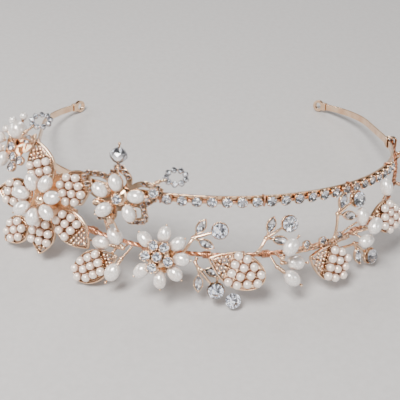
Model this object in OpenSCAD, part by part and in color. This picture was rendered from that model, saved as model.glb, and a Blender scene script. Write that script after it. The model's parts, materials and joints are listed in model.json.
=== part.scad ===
// Bridal tiara: a sprung wire hoop with a rhinestone cup chain, and below it a
// vine of cast leaves, wired pearl flowers and crystal sprigs.
// Millimetres, +Z up. The origin is on the table, under the middle of the tiara;
// the front faces -Y and the two ends of the hoop point to +Y.
// Places are given round the head: an angle from the front (plus is +X), a distance
// from the hoop's middle line and a height above the table.

/* [Hoop] */
// Radius of the round front half of the hoop
hoop_r = 65; // [62:1:68]
// Length of the straight part on each side
side_len = 20; // [16:1:24]
// Radius of each bent-in end
end_r = 41; // [38:1:44]
// How far each end bends in
end_turn = 44; // [40:1:48]
// Height of the flat strap
strap_h = 2.6; // [2.2:0.1:2.8]
// Thickness of the strap
strap_t = 0.8; // [0.7:0.1:1]
// How far the front of the hoop is tipped up
hoop_tilt = 14.5; // [13:0.5:16]
// Distance of the hoop's middle behind the origin
hoop_y = 14.3; // [10:0.5:20]
// Outer radius of the ring on each end
ring_r = 2.4; // [2.2:0.1:2.8]
// Radius of the hole in each end ring
ring_bore_r = 1.4; // [1.1:0.1:1.6]
// Thickness of each end ring
ring_t = 1.4; // [1.2:0.1:1.8]

/* [Cup chain] */
// Diameter of the chain stones
chain_stone_d = 2.9; // [2.6:0.1:3]
// Angle between neighbouring stones
chain_step = 3.9; // [3.8:0.05:4.2]
// Number of stones in the chain
chain_count = 24; // [20:1:24]
// Angle of the first stone
chain_start = -31; // [-33:0.5:-29]

/* [Vine] */
// Radius of the vine wire's curve
vine_r = 66.4; // [66.2:0.1:66.8]
// Diameter of the vine wire
vine_wire_d = 1.6; // [1.4:0.1:1.8]
// Height of the vine at the front
vine_front_z = 13.8; // [13.4:0.1:14.2]
// How far the vine slopes down from the front to the sides
vine_slope = 7.4; // [6.5:0.1:8]
// Angle from the front to where the vine starts to rise to the hoop
vine_turn = 50; // [48:1:52]
// Angle from the front to each join with the hoop
join_angle = 84; // [82:1:86]

/* [Pearls and stones] */
// Diameter of a seed pearl
seed_d = 2.7; // [2.4:0.1:2.8]
// Distance between neighbouring seed pearls
seed_pitch = 2.8; // [2.75:0.05:3]
// Diameter of a rice pearl
rice_d = 4.3; // [4:0.1:4.5]
// Length of a rice pearl
rice_l = 5.8; // [5.4:0.1:6.2]
// Diameter of a large round crystal
crystal_d = 4.8; // [4.4:0.1:5]
// Diameter of a flower stone
flower_stone_d = 2.8; // [2.6:0.1:3]
// Radius of the wire that a turning pearl is threaded on
pearl_wire_r = 0.3; // [0.25:0.05:0.35]
// Gap between that wire and the pearl's hole
thread_gap = 0.06; // [0.04:0.01:0.08]

/* [Cast leaves] */
// Height of a leaf's rim
leaf_h = 1.3; // [1.2:0.1:1.6]
// Width of a leaf's rim
leaf_rim = 0.6; // [0.5:0.05:0.7]
// Thickness of a leaf's floor
leaf_floor = 0.9; // [0.6:0.1:1]

/* [Hidden] */
$fn = 40;
gold = "#d9a47c";
copper = "#c07a50";
pearl = "#f4e4da";
crystal = "#dfe7f2";
touch = 0.05;          // gap left between pieces that only touch
strap_mid = -strap_h / 2;         // the hoop's plane is the strap's top edge
ring_out = ring_r - 0.3;          // from the strap's end to the middle of its ring
ring_back = side_len + end_r * sin(end_turn) + ring_out * cos(end_turn);
// the hoop's height at its sides, with the end rings on the table
stand_z = ring_r + 0.05 + ring_back * sin(hoop_tilt) - strap_mid * cos(hoop_tilt);
lift = 0.4;                       // ornaments stand this much higher than drawn
vine_front_r = 69;
vine_y = vine_r - vine_front_r;
vine_side_z = vine_front_z - vine_r * sin(vine_slope);
vine_join_z = 16.3;
vine_rise = atan((vine_join_z - vine_z(vine_turn)) / (vine_r * sin(join_angle - vine_turn)));
foot_r = 0.4;
branch_from = 11;
branch_turn = 23;
cup_h = 1.5;
cup_wall = 0.25;
chain_r = hoop_r + strap_t / 2 + touch;
chain_drop = 1.5;

// Leaf flower, on the left: direction, start, length, width, lift and height of each leaf
leaf_flower = [-52, 74, 19, -30, 35];
top_leaf_at = [117, 4.5, 15.8, 10, 6, 0];
right_leaf_at = [37, 4.4, 12, 12, 0, 0];
lower_right_leaf_at = [-31, 4.8, 15.9, 9.8, -4, 0];
bottom_leaf_at = [-88, 5, 13, 9.2, -10, 0];
lower_left_leaf_at = [-130, 11.5, 12, 9.5, -12, -1];
left_leaf_at = [-177, 6, 13, 10, 0, 0];
rosette_count = 7;

// Flower on the hoop: direction and length of each openwork petal
band_flower = [-31.5, 69, 28.5, -18, 32];
band_petals = [[152, 14], [98, 10.8], [22, 14], [-28, 11], [-135, 8.5]];
// direction, distance and turn of each oval pearl
band_ovals = [[158, 6, 150], [103, 5.2, 115], [19, 5.9, 5], [-38, 5.4, -60], [-136, 4.9, 40]];

// Pearl flower on the vine, and the directions of its rice pearls
pearl_flower = [-18.9, 73.5, 14.9, -22, 35];
pearl_flower_dirs = [142, 88, 46, 6, -33, -76, -131];

// Side flower, far left
side_flower = [-71, 74, 26.5, -45, 38];

// Leaf buds: place of the tip, then direction, length and width of the leaf
bud_1 = [[-30, 73, 10.4, -36, 33], -139, 17, 10.5];
bud_2 = [[-8.2, 71.5, 15, -4, 32], -20, 19, 11.5];
bud_3 = [[17.6, 71.5, 12.2, 24, 25], -27, 15.5, 11.5];
bud_4 = [[36.9, 71.5, 18.8, 42, 25], -21, 16, 11];
bud_5 = [[66, 70, 17, 72, 25], -12, 16, 10.5];

// Sprigs: place of the foot, then stem direction, stem length and head direction, and
// the sides that carry a navette when not both
sprig_1 = [[-14, 70.5, 15.5, -9, 30], 60, 5.2, 20];
sprig_2 = [[4.4, 70.5, 16.5, 6, 30], 55, 4.8, 28];
sprig_3 = [[24, 73, 18.6, 28, 25], 69, 7.3, 18];
drop_sprig_at = [[-11, 71, 12.5, -8, 30], -58, 2.4, -48];
low_sprig_at = [[28, 70.5, 10.5, 32, 20], -8, 7.5, -48];
lone_crystal_at = [[-6, 70.5, 11, -4, 30], -75, 3.5, -55, []];
right_end_sprig_at = [[64, 70, 13.4, 64, 25], -75, 4, -90];

// Turning pearls: foot of the wire, direction in the plane, and how far it leans out
wired = [
    [[-31, 70.5, 11.4, -30, 30], -176, 3.2],
    [[-28.9, 73, 13.9, -30, 30], 142, 1.2],
    [[-28, 76.5, 12.7, -30, 30], -110, 1.8],
    [[9.2, 75.6, 17.2, 14, 25], 45, 1],
    [[10.2, 73, 13.2, 14, 25], -10, 1.2],
    [[8.4, 75, 13.6, 14, 25], -44, 3]
];

// ---- places ----

// A plane facing outward near the head: angle, distance, height, facing and tilt up
module spot(p)
    translate([p[1] * sin(p[0]), hoop_y - p[1] * cos(p[0]), p[2] + lift])
        rotate([0, 0, p[3]]) rotate([90 - p[4], 0, 0]) children();

module in_hoop_plane()
    translate([0, hoop_y, stand_z]) rotate([-hoop_tilt, 0, 0]) children();

// A place on the hoop: X runs along it and -Y points away from the head
module on_hoop(a, r, z)
    in_hoop_plane() rotate([0, 0, a]) translate([0, -r, z]) children();

module in_vine_plane()
    translate([0, hoop_y + vine_y, vine_side_z + lift]) rotate([-vine_slope, 0, 0])
        children();

module on_vine(a)
    in_vine_plane() rotate([0, 0, a]) translate([0, -vine_r, 0]) children();

// Each end of the strap: X runs on past the end
module at_hoop_end(side)
    in_hoop_plane() mirror([side < 0 ? 1 : 0, 0, 0])
        translate([hoop_r - end_r, side_len, strap_mid]) rotate([0, 0, end_turn + 90])
            translate([0, -end_r, 0]) children();

// Height of the vine at an angle, and a wire from there to the foot of an ornament
function vine_z(a) = vine_side_z + vine_r * cos(a) * sin(vine_slope);

module foot_wire(p) {
    out = p[1] - vine_front_r;
    up = p[2] - vine_z(p[0]);
    on_branch = p[0] > branch_from && p[0] < branch_from + branch_turn;
    reach = norm([out, up]) - vine_wire_d / 2 - touch - (on_branch ? 1.1 : 0);
    spot([p[0], p[1], p[2], p[0], atan2(up, out)])
        translate([0, 0, -reach]) cylinder(r = foot_r, h = reach);
}

// ---- small shapes ----

// A stone: a low crown over a pointed back, the point at z = 0
function stone_back(d) = 0.42 * d;
function stone_top(d) = 0.62 * d;

module round_stone(d)
    rotate_extrude()
        polygon([[0, 0], [d / 2, stone_back(d)], [d / 2, stone_back(d) + 0.12],
            [0.32 * d, stone_top(d)], [0, stone_top(d)]]);

// A cup that holds a round stone, its back at z = 0
module stone_cup(d)
    difference() {
        cylinder(r = d / 2 + cup_wall, h = cup_h);
        translate([0, 0, cup_wall]) cylinder(r = d / 2 + touch, h = cup_h);
    }

module stone_in_cup(d)
    translate([0, 0, cup_wall + touch]) round_stone(d);

// An oval pearl along Z, its middle at the origin, with an optional hole
module oval_pearl(d, l, hole_r = 0) {
    half = hole_r > 0 ? acos(2 * hole_r / d) : 90;
    steps = 14;
    rotate_extrude()
        polygon(concat(
            [[hole_r, -l / 2 * sin(half)]],
            [for (i = [1 : steps - 1]) let (t = half * (2 * i / steps - 1))
                [d / 2 * cos(t), l / 2 * sin(t)]],
            [[hole_r, l / 2 * sin(half)]]));
}

// A leaf outline: round at x = 0 and pointed at x = l
function leaf_half(x, l, w) =
    let (c = 0.45 * l)
    x < c ? w / 2 * sqrt(max(0, 1 - pow((c - x) / c, 2)))
          : w / 2 * (1 - pow((x - c) / (l - c), 1.8));
leaf_steps = 14;
function leaf_x(i, l) = l * (1 - cos(180 * i / leaf_steps)) / 2;
function leaf_outline(l, w) = concat(
    [for (i = [0 : leaf_steps]) [leaf_x(i, l), leaf_half(leaf_x(i, l), l, w)]],
    [for (i = [leaf_steps - 1 : -1 : 1]) [leaf_x(i, l), -leaf_half(leaf_x(i, l), l, w)]]);

// Rows of seed pearls in a leaf, then grains of metal towards its tip
row_start = leaf_rim + seed_d / 2 + 0.2;
function row_x(i) = row_start + i * seed_pitch;
function row_count(l) = floor((0.66 * l - row_start) / seed_pitch) + 1;
function in_row(x, l, w) =
    max(1, floor((2 * (leaf_half(x, l, w) - leaf_rim) + 1.5) / seed_pitch));
grain_d = 1.1;

module leaf_tray(l, w) {
    grains_x = row_x(row_count(l) - 1) + seed_d / 2 + grain_d / 2 + 0.15;
    difference() {
        linear_extrude(leaf_h) polygon(leaf_outline(l, w));
        translate([leaf_rim, 0, leaf_floor]) linear_extrude(leaf_h)
            polygon(leaf_outline(l - 3 * leaf_rim, w - 2 * leaf_rim));
    }
    for (x = [grains_x : grain_d + 0.1 : l - 3.2]) {
        n = max(1, floor((2 * (leaf_half(x, l, w) - leaf_rim)) / (grain_d + 0.15)));
        for (j = [0 : n - 1])
            translate([x, (j - (n - 1) / 2) * (grain_d + 0.1), leaf_floor + 0.3])
                sphere(d = grain_d, $fn = 16);
    }
}

module leaf_pearls(l, w)
    for (i = [0 : row_count(l) - 1]) {
        x = row_x(i);
        n = in_row(x, l, w);
        for (j = [0 : n - 1])
            translate([x, (j - (n - 1) / 2) * seed_pitch, leaf_h + touch + seed_d / 2])
                sphere(d = seed_d);
    }

// A flat clip round two strips: length along X, inside width and height, and wall
module clip(len, w, h, wall)
    difference() {
        cube([len, w + 2 * wall, h + 2 * wall], center = true);
        cube([len + 1, w, h], center = true);
    }

// ---- hoop ----

// A bend of the flat strap
module strap_bend(r, turn)
    rotate_extrude(angle = turn)
        translate([r - strap_t / 2, strap_mid - strap_h / 2]) square([strap_t, strap_h]);

// The sprung strap: a half round front, two straight sides and two bent-in ends
module band()
    color(gold) in_hoop_plane() {
        rotate([0, 0, 180]) strap_bend(hoop_r, 180);
        for (flip = [0, 1]) mirror([flip, 0, 0]) {
            translate([hoop_r, side_len / 2, strap_mid])
                cube([strap_t, side_len + 0.2, strap_h], center = true);
            translate([hoop_r - end_r, side_len, 0]) strap_bend(end_r, end_turn);
        }
    }

// Flat ring on the strap's end, with the slotted tail that the strap is soldered into
module end_ring(side)
    color(gold) at_hoop_end(side)
        difference() {
            union() {
                translate([ring_out, 0, 0]) rotate([90, 0, 0])
                    cylinder(r = ring_r, h = ring_t, center = true);
                translate([-0.7, 0, 0]) cube([2, ring_t + 0.4, 3.2], center = true);
            }
            translate([ring_out, 0, 0]) rotate([90, 0, 0])
                cylinder(r = ring_bore_r, h = 4, center = true);
            translate([-1, 0, 0]) cube([2.02, strap_t + 0.14, strap_h + 0.06], center = true);
        }

module left_end_ring() end_ring(-1);
module right_end_ring() end_ring(1);

// ---- cup chain ----

module at_chain(a)
    on_hoop(a, chain_r, -chain_drop) rotate([90, 0, 0]) children();

module chain_cups()
    color(gold) for (i = [0 : chain_count - 1])
        at_chain(chain_start + i * chain_step) stone_cup(chain_stone_d);

module chain_links() {
    bar = (chain_r + cup_h / 2) * sin(chain_step) - chain_stone_d - 2 * cup_wall - 2 * touch;
    color(copper) for (i = [0 : chain_count - 2])
        at_chain(chain_start + (i + 0.5) * chain_step)
            translate([-bar / 2, -0.35, 0.35]) cube([bar, 0.7, 0.5]);
}

module chain_stones()
    color(crystal) for (i = [0 : chain_count - 1])
        at_chain(chain_start + i * chain_step) stone_in_cup(chain_stone_d);

// Bound wire that ties the chain to the hoop, between two stones
module chain_clips()
    color(copper) for (i = [2, 9, 16, 22])
        on_hoop(chain_start + (i + 0.5) * chain_step, hoop_r + 0.45, strap_mid - 0.1)
            clip(0.6, 2, strap_h + 0.4, 0.3);

// ---- vine ----

module vine_bend(from, turn)
    rotate([0, 0, from - 90]) rotate_extrude(angle = turn)
        translate([vine_r, 0]) circle(d = vine_wire_d);

// The front of the vine slopes to the sides, then both ends rise to the hoop
module vine_wire()
    color(copper) {
        in_vine_plane() {
            vine_bend(-vine_turn, 2 * vine_turn);
            for (side = [-1, 1])
                rotate([0, 0, side * vine_turn]) translate([0, -vine_r, 0])
                    rotate([0, 0, 90]) sphere(d = vine_wire_d + 0.2);
        }
        for (flip = [0, 1])
            mirror([flip, 0, 0])
                translate([0, hoop_y + vine_y, vine_z(vine_turn) + lift])
                    rotate([0, 0, vine_turn]) rotate([0, -vine_rise, 0])
                        vine_bend(0, join_angle - vine_turn + 3);
    }

binding_at = [-47, -42, -25, -17, -8.5, 0.5, 7.2, 37, 46];

module vine_bindings()
    color(copper) for (a = binding_at, turn = [-1.5 : 1 : 1.5])
        on_vine(a) translate([turn * 0.6, 0, 0]) rotate([0, 90, 0])
            rotate_extrude() translate([vine_wire_d / 2 + 0.27, 0]) circle(r = 0.24, $fn = 16);

module join_collars()
    color(gold) for (side = [-1, 1])
        on_hoop(side * join_angle, hoop_r + 1.1, strap_mid + 0.1) clip(3, 3.3, 3.4, 0.4);

// ---- leaf flower ----

module leaf_place(p)
    spot(leaf_flower) rotate([0, 0, p[0]]) rotate([0, -p[4], 0])
        translate([p[1], 0, p[5]]) children();
module flower_leaf(p) color(gold) leaf_place(p) leaf_tray(p[2], p[3]);

module top_leaf() flower_leaf(top_leaf_at);
module right_leaf() flower_leaf(right_leaf_at);
module lower_right_leaf() flower_leaf(lower_right_leaf_at);
module bottom_leaf() flower_leaf(bottom_leaf_at);
module lower_left_leaf() flower_leaf(lower_left_leaf_at);
module left_leaf() flower_leaf(left_leaf_at);

module leaf_flower_seed_pearls()
    color(pearl) for (p = [top_leaf_at, right_leaf_at, lower_right_leaf_at,
            bottom_leaf_at, lower_left_leaf_at, left_leaf_at])
        leaf_place(p) leaf_pearls(p[2], p[3]);

// Plate behind the leaves, with the post that carries the rosette of rice pearls
module leaf_flower_plate()
    color(gold) spot(leaf_flower) {
        translate([0, 0, -3.2]) cylinder(r = 9, h = 0.8);
        translate([0, 0, -3]) cylinder(r = 2.4, h = 7.8);
        translate([0, 0, 4.8]) sphere(r = 2.2);
    }

module leaf_flower_rice_pearls()
    color(pearl) spot(leaf_flower) translate([-1, 0, 0])
        for (i = [0 : rosette_count - 1])
            rotate([0, 0, i * 360 / rosette_count + 20]) translate([5.6, 0, 7])
                rotate([0, 80, 0]) oval_pearl(rice_d, rice_l);

// ---- flower on the hoop ----

band_petal_w = 8;
band_plate_h = 1;
oval_lift = 1.2 + rice_d / 2;

module band_flower_frame()
    color(gold) spot(band_flower) {
        cylinder(r = 3.4, h = band_plate_h + 0.2);
        for (p = band_petals)
            rotate([0, 0, p[0]]) translate([2, 0, 0]) linear_extrude(band_plate_h)
                difference() {
                    polygon(leaf_outline(p[1] - 2, band_petal_w));
                    translate([1.5, 0])
                        polygon(leaf_outline(p[1] - 6, band_petal_w - 3.6));
                }
    }

// Small stones along both sides of each openwork petal
module band_petal_stones(l) {
    size = 1.5;
    for (side = [-1, 1], t = [0.55, 0.72, 0.88]) {
        x = t * (l - 2);
        y = leaf_half(x, l - 2, band_petal_w) - 0.9;
        translate([2 + x, side * max(0.85, y), band_plate_h + touch]) round_stone(size);
    }
}

module band_flower_ovals()
    color(pearl) spot(band_flower)
        for (p = band_ovals)
            rotate([0, 0, p[0]]) translate([p[1], 0, oval_lift + 0.6])
                rotate([0, 0, p[2] - p[0]]) rotate([0, 90, 0]) oval_pearl(4.1, 5.4);

// Faceted bead at the top of the hoop flower, threaded on a wire
drop_bead_base = [-1.6, 10, 2.4];
drop_bead_d = 5.6;
drop_bead_l = 5;

module at_drop_bead()
    spot(band_flower) translate(drop_bead_base) rotate([0, 0, 94]) rotate([0, 90, 0])
        children();

module drop_bead_wire()
    color(gold) at_drop_bead() threaded_wire(drop_bead_l, 0.4);

module drop_bead()
    color(crystal) at_drop_bead() translate([0, 0, 0.4 + 0.3 + drop_bead_l / 2])
        rotate_extrude()
            polygon([[pearl_wire_r + thread_gap, -drop_bead_l / 2],
                [1, -drop_bead_l / 2], [drop_bead_d / 2, -0.6], [drop_bead_d / 2, 0.6],
                [1, drop_bead_l / 2], [pearl_wire_r + thread_gap, drop_bead_l / 2]]);

// ---- side flower ----

side_rice_dirs = [176, 222, 270];

module side_flower_disc()
    color(gold) spot(side_flower) {
        cylinder(r = 5, h = 0.8);
        translate([0, 0, -4]) cylinder(r = 1.5, h = 4.2);
    }

module side_flower_leaf()
    color(gold) spot(side_flower) translate([5.4, -0.4, 0.85]) rotate([0, 0, 78])
        difference() {
            linear_extrude(0.9) polygon(leaf_outline(7.4, 3.4));
            translate([1, 0, 0.5]) linear_extrude(1) polygon(leaf_outline(5, 1.8));
        }

module side_flower_big_pearl()
    color(pearl) spot(side_flower) translate([1.5, 5.4, 4.2]) sphere(d = 6.2);

module side_flower_pearls()
    color(pearl) spot(side_flower) {
        for (a = side_rice_dirs)
            rotate([0, 0, a]) translate([5.6, 0, 3.4]) rotate([0, 90, 0])
                oval_pearl(rice_d - 0.3, rice_l - 0.4);
        for (p = [[-4.5, 3.8], [0.3, 10.2], [-3.4, 7.4]])
            translate([p[0], p[1], 3]) sphere(d = seed_d);
    }

// ---- bead loops ----

bead_d = 2;
bead_count = 9;
bead_ring_r = bead_count * (bead_d + touch) / 360 * 57.3;
// place of each loop's ring, direction back to its foot and length of its stalk
bead_loops = [[[-60.9, 69, 41.4, -15, 78], -118, 6.5], [[-17, 68, 40.5, -10, 78], -152, 5.5]];

module bead_loop_wires()
    color(gold) for (b = bead_loops) spot(b[0]) {
        rotate_extrude() translate([bead_ring_r, 0]) circle(r = 0.2, $fn = 16);
        rotate([0, 0, b[1]]) translate([bead_ring_r - 0.1, 0, 0]) rotate([0, 90, 0])
            cylinder(r = 0.45, h = b[2]);
    }

module bead_loop_beads()
    color(crystal) for (b = bead_loops) spot(b[0])
        for (i = [0.5 : bead_count - 0.5])
            rotate([0, 0, b[1] + i * 360 / bead_count]) translate([bead_ring_r, 0, 0])
                rotate([90, 0, 0]) oval_pearl(bead_d, bead_d - 0.1, 0.38);

// ---- pearl flower ----

stone_seat_z = 4.4;

module pearl_flower_disc()
    color(gold) spot(pearl_flower) {
        cylinder(r = 5.4, h = 0.8);
        cylinder(r = 3.4, h = stone_seat_z);
        translate([0, 0, -2.6]) cylinder(r = 1.6, h = 2.8);
    }

module pearl_flower_pearls()
    color(pearl) spot(pearl_flower)
        for (a = pearl_flower_dirs)
            rotate([0, 0, a]) translate([6.9, 0, 0.9 + rice_d / 2]) rotate([0, 90, 0])
                oval_pearl(rice_d - 0.2, rice_l - 0.4);

// ---- set stones ----

// Cups stand on the flowers' discs: one in the middle and a ring round it
module each_set_stone() {
    spot(pearl_flower) {
        translate([0, 0, stone_seat_z + touch]) children();
        for (a = [119, 62, 186, -10, -103])
            rotate([0, 0, a]) translate([3.6, 0, stone_seat_z + touch]) children();
    }
    spot(side_flower) {
        for (p = [[7.4, -3.2], [5.2, -6.3], [1.7, -0.4], [3.9, -3.1], [6.9, 4.2]])
            translate([p[0], p[1], 2.6]) children();
    }
    spot(band_flower) {
        translate([0, 0.2, 2.4]) children();
        translate([10.6, 3.8, 2.1]) children();
    }
}

module stone_cups() color(gold) each_set_stone() stone_cup(flower_stone_d);
module set_stones() color(crystal) each_set_stone() stone_in_cup(flower_stone_d);

// ---- leaf buds ----

module bud_place(b) spot(b[0]) rotate([0, 0, b[1] + 180]) translate([-b[2], 0, 0]) children();
module leaf_bud(b) color(gold) bud_place(b) leaf_tray(b[2], b[3]);

module leaf_bud_1() leaf_bud(bud_1);
module leaf_bud_2() leaf_bud(bud_2);
module leaf_bud_3() leaf_bud(bud_3);
module leaf_bud_4() leaf_bud(bud_4);
module leaf_bud_5() leaf_bud(bud_5);

module leaf_bud_pearls()
    color(pearl) for (b = [bud_1, bud_2, bud_3, bud_4, bud_5])
        bud_place(b) leaf_pearls(b[2], b[3]);

// ---- crystal sprigs ----

head_len = 8.4;
navette_at = 4.3;
navette_turn = 40;
navette_l = 4.8;
navette_w = 2.5;
stem_r = 0.45;

// A navette outline: two equal arcs that meet in points
module navette_outline(l, w) {
    r = (l * l + w * w) / (4 * w);
    intersection() {
        translate([0, r - w / 2]) circle(r = r);
        translate([0, w / 2 - r]) circle(r = r);
    }
}

function navette_sides(s) = len(s) > 4 ? s[4] : [-1, 1];

module at_sprig_head(s)
    spot(s[0]) rotate([0, 0, s[1]]) translate([s[2], 0, 0]) rotate([0, 0, s[3] - s[1]])
        children();

// The casting: a forked stem, a cup for the round crystal and two navette settings
module sprig(s)
    color(gold) {
        foot_wire(s[0]);
        spot(s[0]) rotate([0, 0, s[1]]) rotate([0, 90, 0]) {
            rotate([0, 0, 180]) sphere(r = 0.75);
            cylinder(r = stem_r, h = s[2]);
        }
        at_sprig_head(s) {
            rotate([0, 0, 110]) sphere(r = 0.8);
            rotate([0, 90, 0]) cylinder(r = stem_r, h = head_len - crystal_d / 2 + 0.2);
            translate([head_len, 0, -0.4]) stone_cup(crystal_d);
            for (side = navette_sides(s))
                rotate([0, 0, side * navette_turn]) {
                    rotate([0, 90, 0]) cylinder(r = stem_r, h = navette_at - navette_l / 2 - 0.15);
                    translate([navette_at, 0, -0.2]) difference() {
                        linear_extrude(1.2) navette_outline(navette_l + 0.7, navette_w + 0.6);
                        translate([0, 0, 0.4]) linear_extrude(1.2)
                            navette_outline(navette_l + 0.1, navette_w + 0.1);
                    }
                }
        }
    }

module sprig_one() sprig(sprig_1);
module sprig_two() sprig(sprig_2);
module sprig_three() sprig(sprig_3);
module drop_sprig() sprig(drop_sprig_at);
module low_sprig() sprig(low_sprig_at);
module lone_crystal() sprig(lone_crystal_at);
module right_end_sprig() sprig(right_end_sprig_at);
sprigs = [sprig_1, sprig_2, sprig_3, drop_sprig_at, low_sprig_at, lone_crystal_at,
    right_end_sprig_at];

module round_crystals()
    color(crystal) for (s = sprigs)
        at_sprig_head(s) translate([head_len, 0, -0.4]) stone_in_cup(crystal_d);

module navette_crystals()
    color(crystal) for (s = sprigs, side = navette_sides(s))
        at_sprig_head(s) rotate([0, 0, side * navette_turn])
            translate([navette_at, 0, 0.25]) {
                linear_extrude(0.9) navette_outline(navette_l, navette_w);
                translate([0, 0, 0.85]) linear_extrude(0.6)
                    navette_outline(navette_l * 0.6, navette_w * 0.6);
            }

// ---- cast branch ----

branch_stones_at = [13, 18, 23, 28.5];

// A scrolled strip along the vine: rings joined by a rail
module branch_casting()
    color(gold) in_vine_plane() {
        rotate([0, 0, 270 + branch_from]) rotate_extrude(angle = branch_turn)
            translate([vine_r + vine_wire_d / 2 + 0.1, -0.6]) square([0.8, 1.8]);
        for (a = branch_stones_at)
            rotate([0, 0, a]) translate([0, -vine_r - vine_wire_d / 2 - 0.5, 2.2])
                rotate([65, 0, 0]) stone_cup(2.2);
        for (a = branch_stones_at)
            rotate([0, 0, a]) translate([0, -vine_r - vine_wire_d / 2 - 0.35, 0.9])
                cylinder(r = 0.3, h = 1.6);
    }

module pave_stones()
    color(crystal) {
        for (p = band_petals)
            spot(band_flower) rotate([0, 0, p[0]]) band_petal_stones(p[1]);
        in_vine_plane() for (a = branch_stones_at)
            rotate([0, 0, a]) translate([0, -vine_r - vine_wire_d / 2 - 0.5, 2.2])
                rotate([65, 0, 0]) stone_in_cup(2.2);
    }

// Rice pearls packed against each other, which can't turn
module right_pearl_cluster()
    color(pearl) {
        for (p = [[[33, 72.5, 22.1, 34, 25], 80], [[34.1, 77, 20.6, 40, 25], 25],
                [[33.5, 75.5, 14, 36, 25], 0], [[46.2, 70, 24.6, 50, 30], 70],
                [[76, 74, 22, 76, 30], 60], [[77, 77.6, 15.5, 76, 25], 20]])
            spot(p[0]) rotate([0, 0, p[1]]) rotate([0, 90, 0]) oval_pearl(rice_d, rice_l + 0.2);
    }

// ---- pearls that turn on their wires ----

// Wire along Z from z = 0: a collar, the pin through the pearl, and a ball at the tip
module threaded_wire(l, collar) {
    cylinder(r = 0.7, h = collar);
    cylinder(r = pearl_wire_r, h = collar + l + 0.9);
    translate([0, 0, collar + l + 0.9 + 0.35]) sphere(r = 0.5, $fn = 24);
}

wired_l = rice_l + 0.4;

module at_wired(i)
    spot(wired[i][0]) rotate([0, 0, wired[i][1]]) rotate([0, 90, 0]) children();

module pearl_wires()
    color(gold) for (i = [0 : len(wired) - 1]) {
        foot_wire(wired[i][0]);
        at_wired(i) {
            rotate([0, 0, 180]) sphere(r = 0.95);
            threaded_wire(wired_l, wired[i][2]);
        }
    }

module wired_pearl(i)
    color(pearl) at_wired(i) translate([0, 0, wired[i][2] + 0.3 + wired_l / 2])
        oval_pearl(rice_d + 0.2, wired_l, pearl_wire_r + thread_gap);

module wired_pearl_1() wired_pearl(0);
module wired_pearl_2() wired_pearl(1);
module wired_pearl_3() wired_pearl(2);
module wired_pearl_4() wired_pearl(3);
module wired_pearl_5() wired_pearl(4);
module wired_pearl_6() wired_pearl(5);

// ---- drawing ----

band();
left_end_ring();
right_end_ring();
chain_cups();
chain_links();
chain_stones();
chain_clips();
vine_wire();
vine_bindings();
join_collars();
leaf_flower_plate();
top_leaf();
right_leaf();
lower_right_leaf();
bottom_leaf();
lower_left_leaf();
left_leaf();
leaf_flower_seed_pearls();
leaf_flower_rice_pearls();
band_flower_frame();
band_flower_ovals();
drop_bead_wire();
drop_bead();
side_flower_disc();
side_flower_leaf();
side_flower_big_pearl();
side_flower_pearls();
bead_loop_wires();
bead_loop_beads();
pearl_flower_disc();
pearl_flower_pearls();
stone_cups();
set_stones();
pave_stones();
leaf_bud_1();
leaf_bud_2();
leaf_bud_3();
leaf_bud_4();
leaf_bud_5();
leaf_bud_pearls();
sprig_one();
sprig_two();
sprig_three();
drop_sprig();
low_sprig();
lone_crystal();
right_end_sprig();
round_crystals();
navette_crystals();
branch_casting();
right_pearl_cluster();
pearl_wires();
wired_pearl_1();
wired_pearl_2();
wired_pearl_3();
wired_pearl_4();
wired_pearl_5();
wired_pearl_6();
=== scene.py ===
import json
import math

import bmesh
import bpy
import numpy as np
from mathutils import Matrix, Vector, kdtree


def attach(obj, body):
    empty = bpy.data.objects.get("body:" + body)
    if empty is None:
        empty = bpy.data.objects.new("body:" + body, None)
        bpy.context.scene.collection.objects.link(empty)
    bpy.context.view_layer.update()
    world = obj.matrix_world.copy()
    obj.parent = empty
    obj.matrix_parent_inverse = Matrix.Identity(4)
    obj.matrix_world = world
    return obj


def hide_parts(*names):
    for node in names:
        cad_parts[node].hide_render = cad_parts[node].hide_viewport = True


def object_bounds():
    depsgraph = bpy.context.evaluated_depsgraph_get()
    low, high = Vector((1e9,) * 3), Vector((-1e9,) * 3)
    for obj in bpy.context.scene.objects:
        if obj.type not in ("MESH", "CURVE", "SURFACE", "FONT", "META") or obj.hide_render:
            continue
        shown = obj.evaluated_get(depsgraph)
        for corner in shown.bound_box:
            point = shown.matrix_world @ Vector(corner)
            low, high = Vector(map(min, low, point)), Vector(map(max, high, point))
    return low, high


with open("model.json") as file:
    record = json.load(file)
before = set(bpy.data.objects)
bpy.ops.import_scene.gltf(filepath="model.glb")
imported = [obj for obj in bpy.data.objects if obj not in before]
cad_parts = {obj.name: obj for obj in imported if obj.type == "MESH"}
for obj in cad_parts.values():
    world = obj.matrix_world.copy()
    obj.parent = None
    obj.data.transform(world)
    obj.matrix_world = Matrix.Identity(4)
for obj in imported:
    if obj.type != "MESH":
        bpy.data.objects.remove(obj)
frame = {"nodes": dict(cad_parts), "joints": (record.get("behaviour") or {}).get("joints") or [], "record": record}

MM = 0.001
TAU = 2 * math.pi
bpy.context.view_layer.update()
rng = np.random.default_rng(7)


def new_object(name, data):
    o = bpy.data.objects.new(name, data)
    bpy.context.scene.collection.objects.link(o)
    return o


# ---- camera ----

CAMERA_AT = np.array([-37.14, -242.16, 168.61])
CAMERA_RIGHT = np.array([0.9944, -0.0937, 0.0479])
CAMERA_UP = np.array([0.0151, 0.5774, 0.8163])


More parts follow.
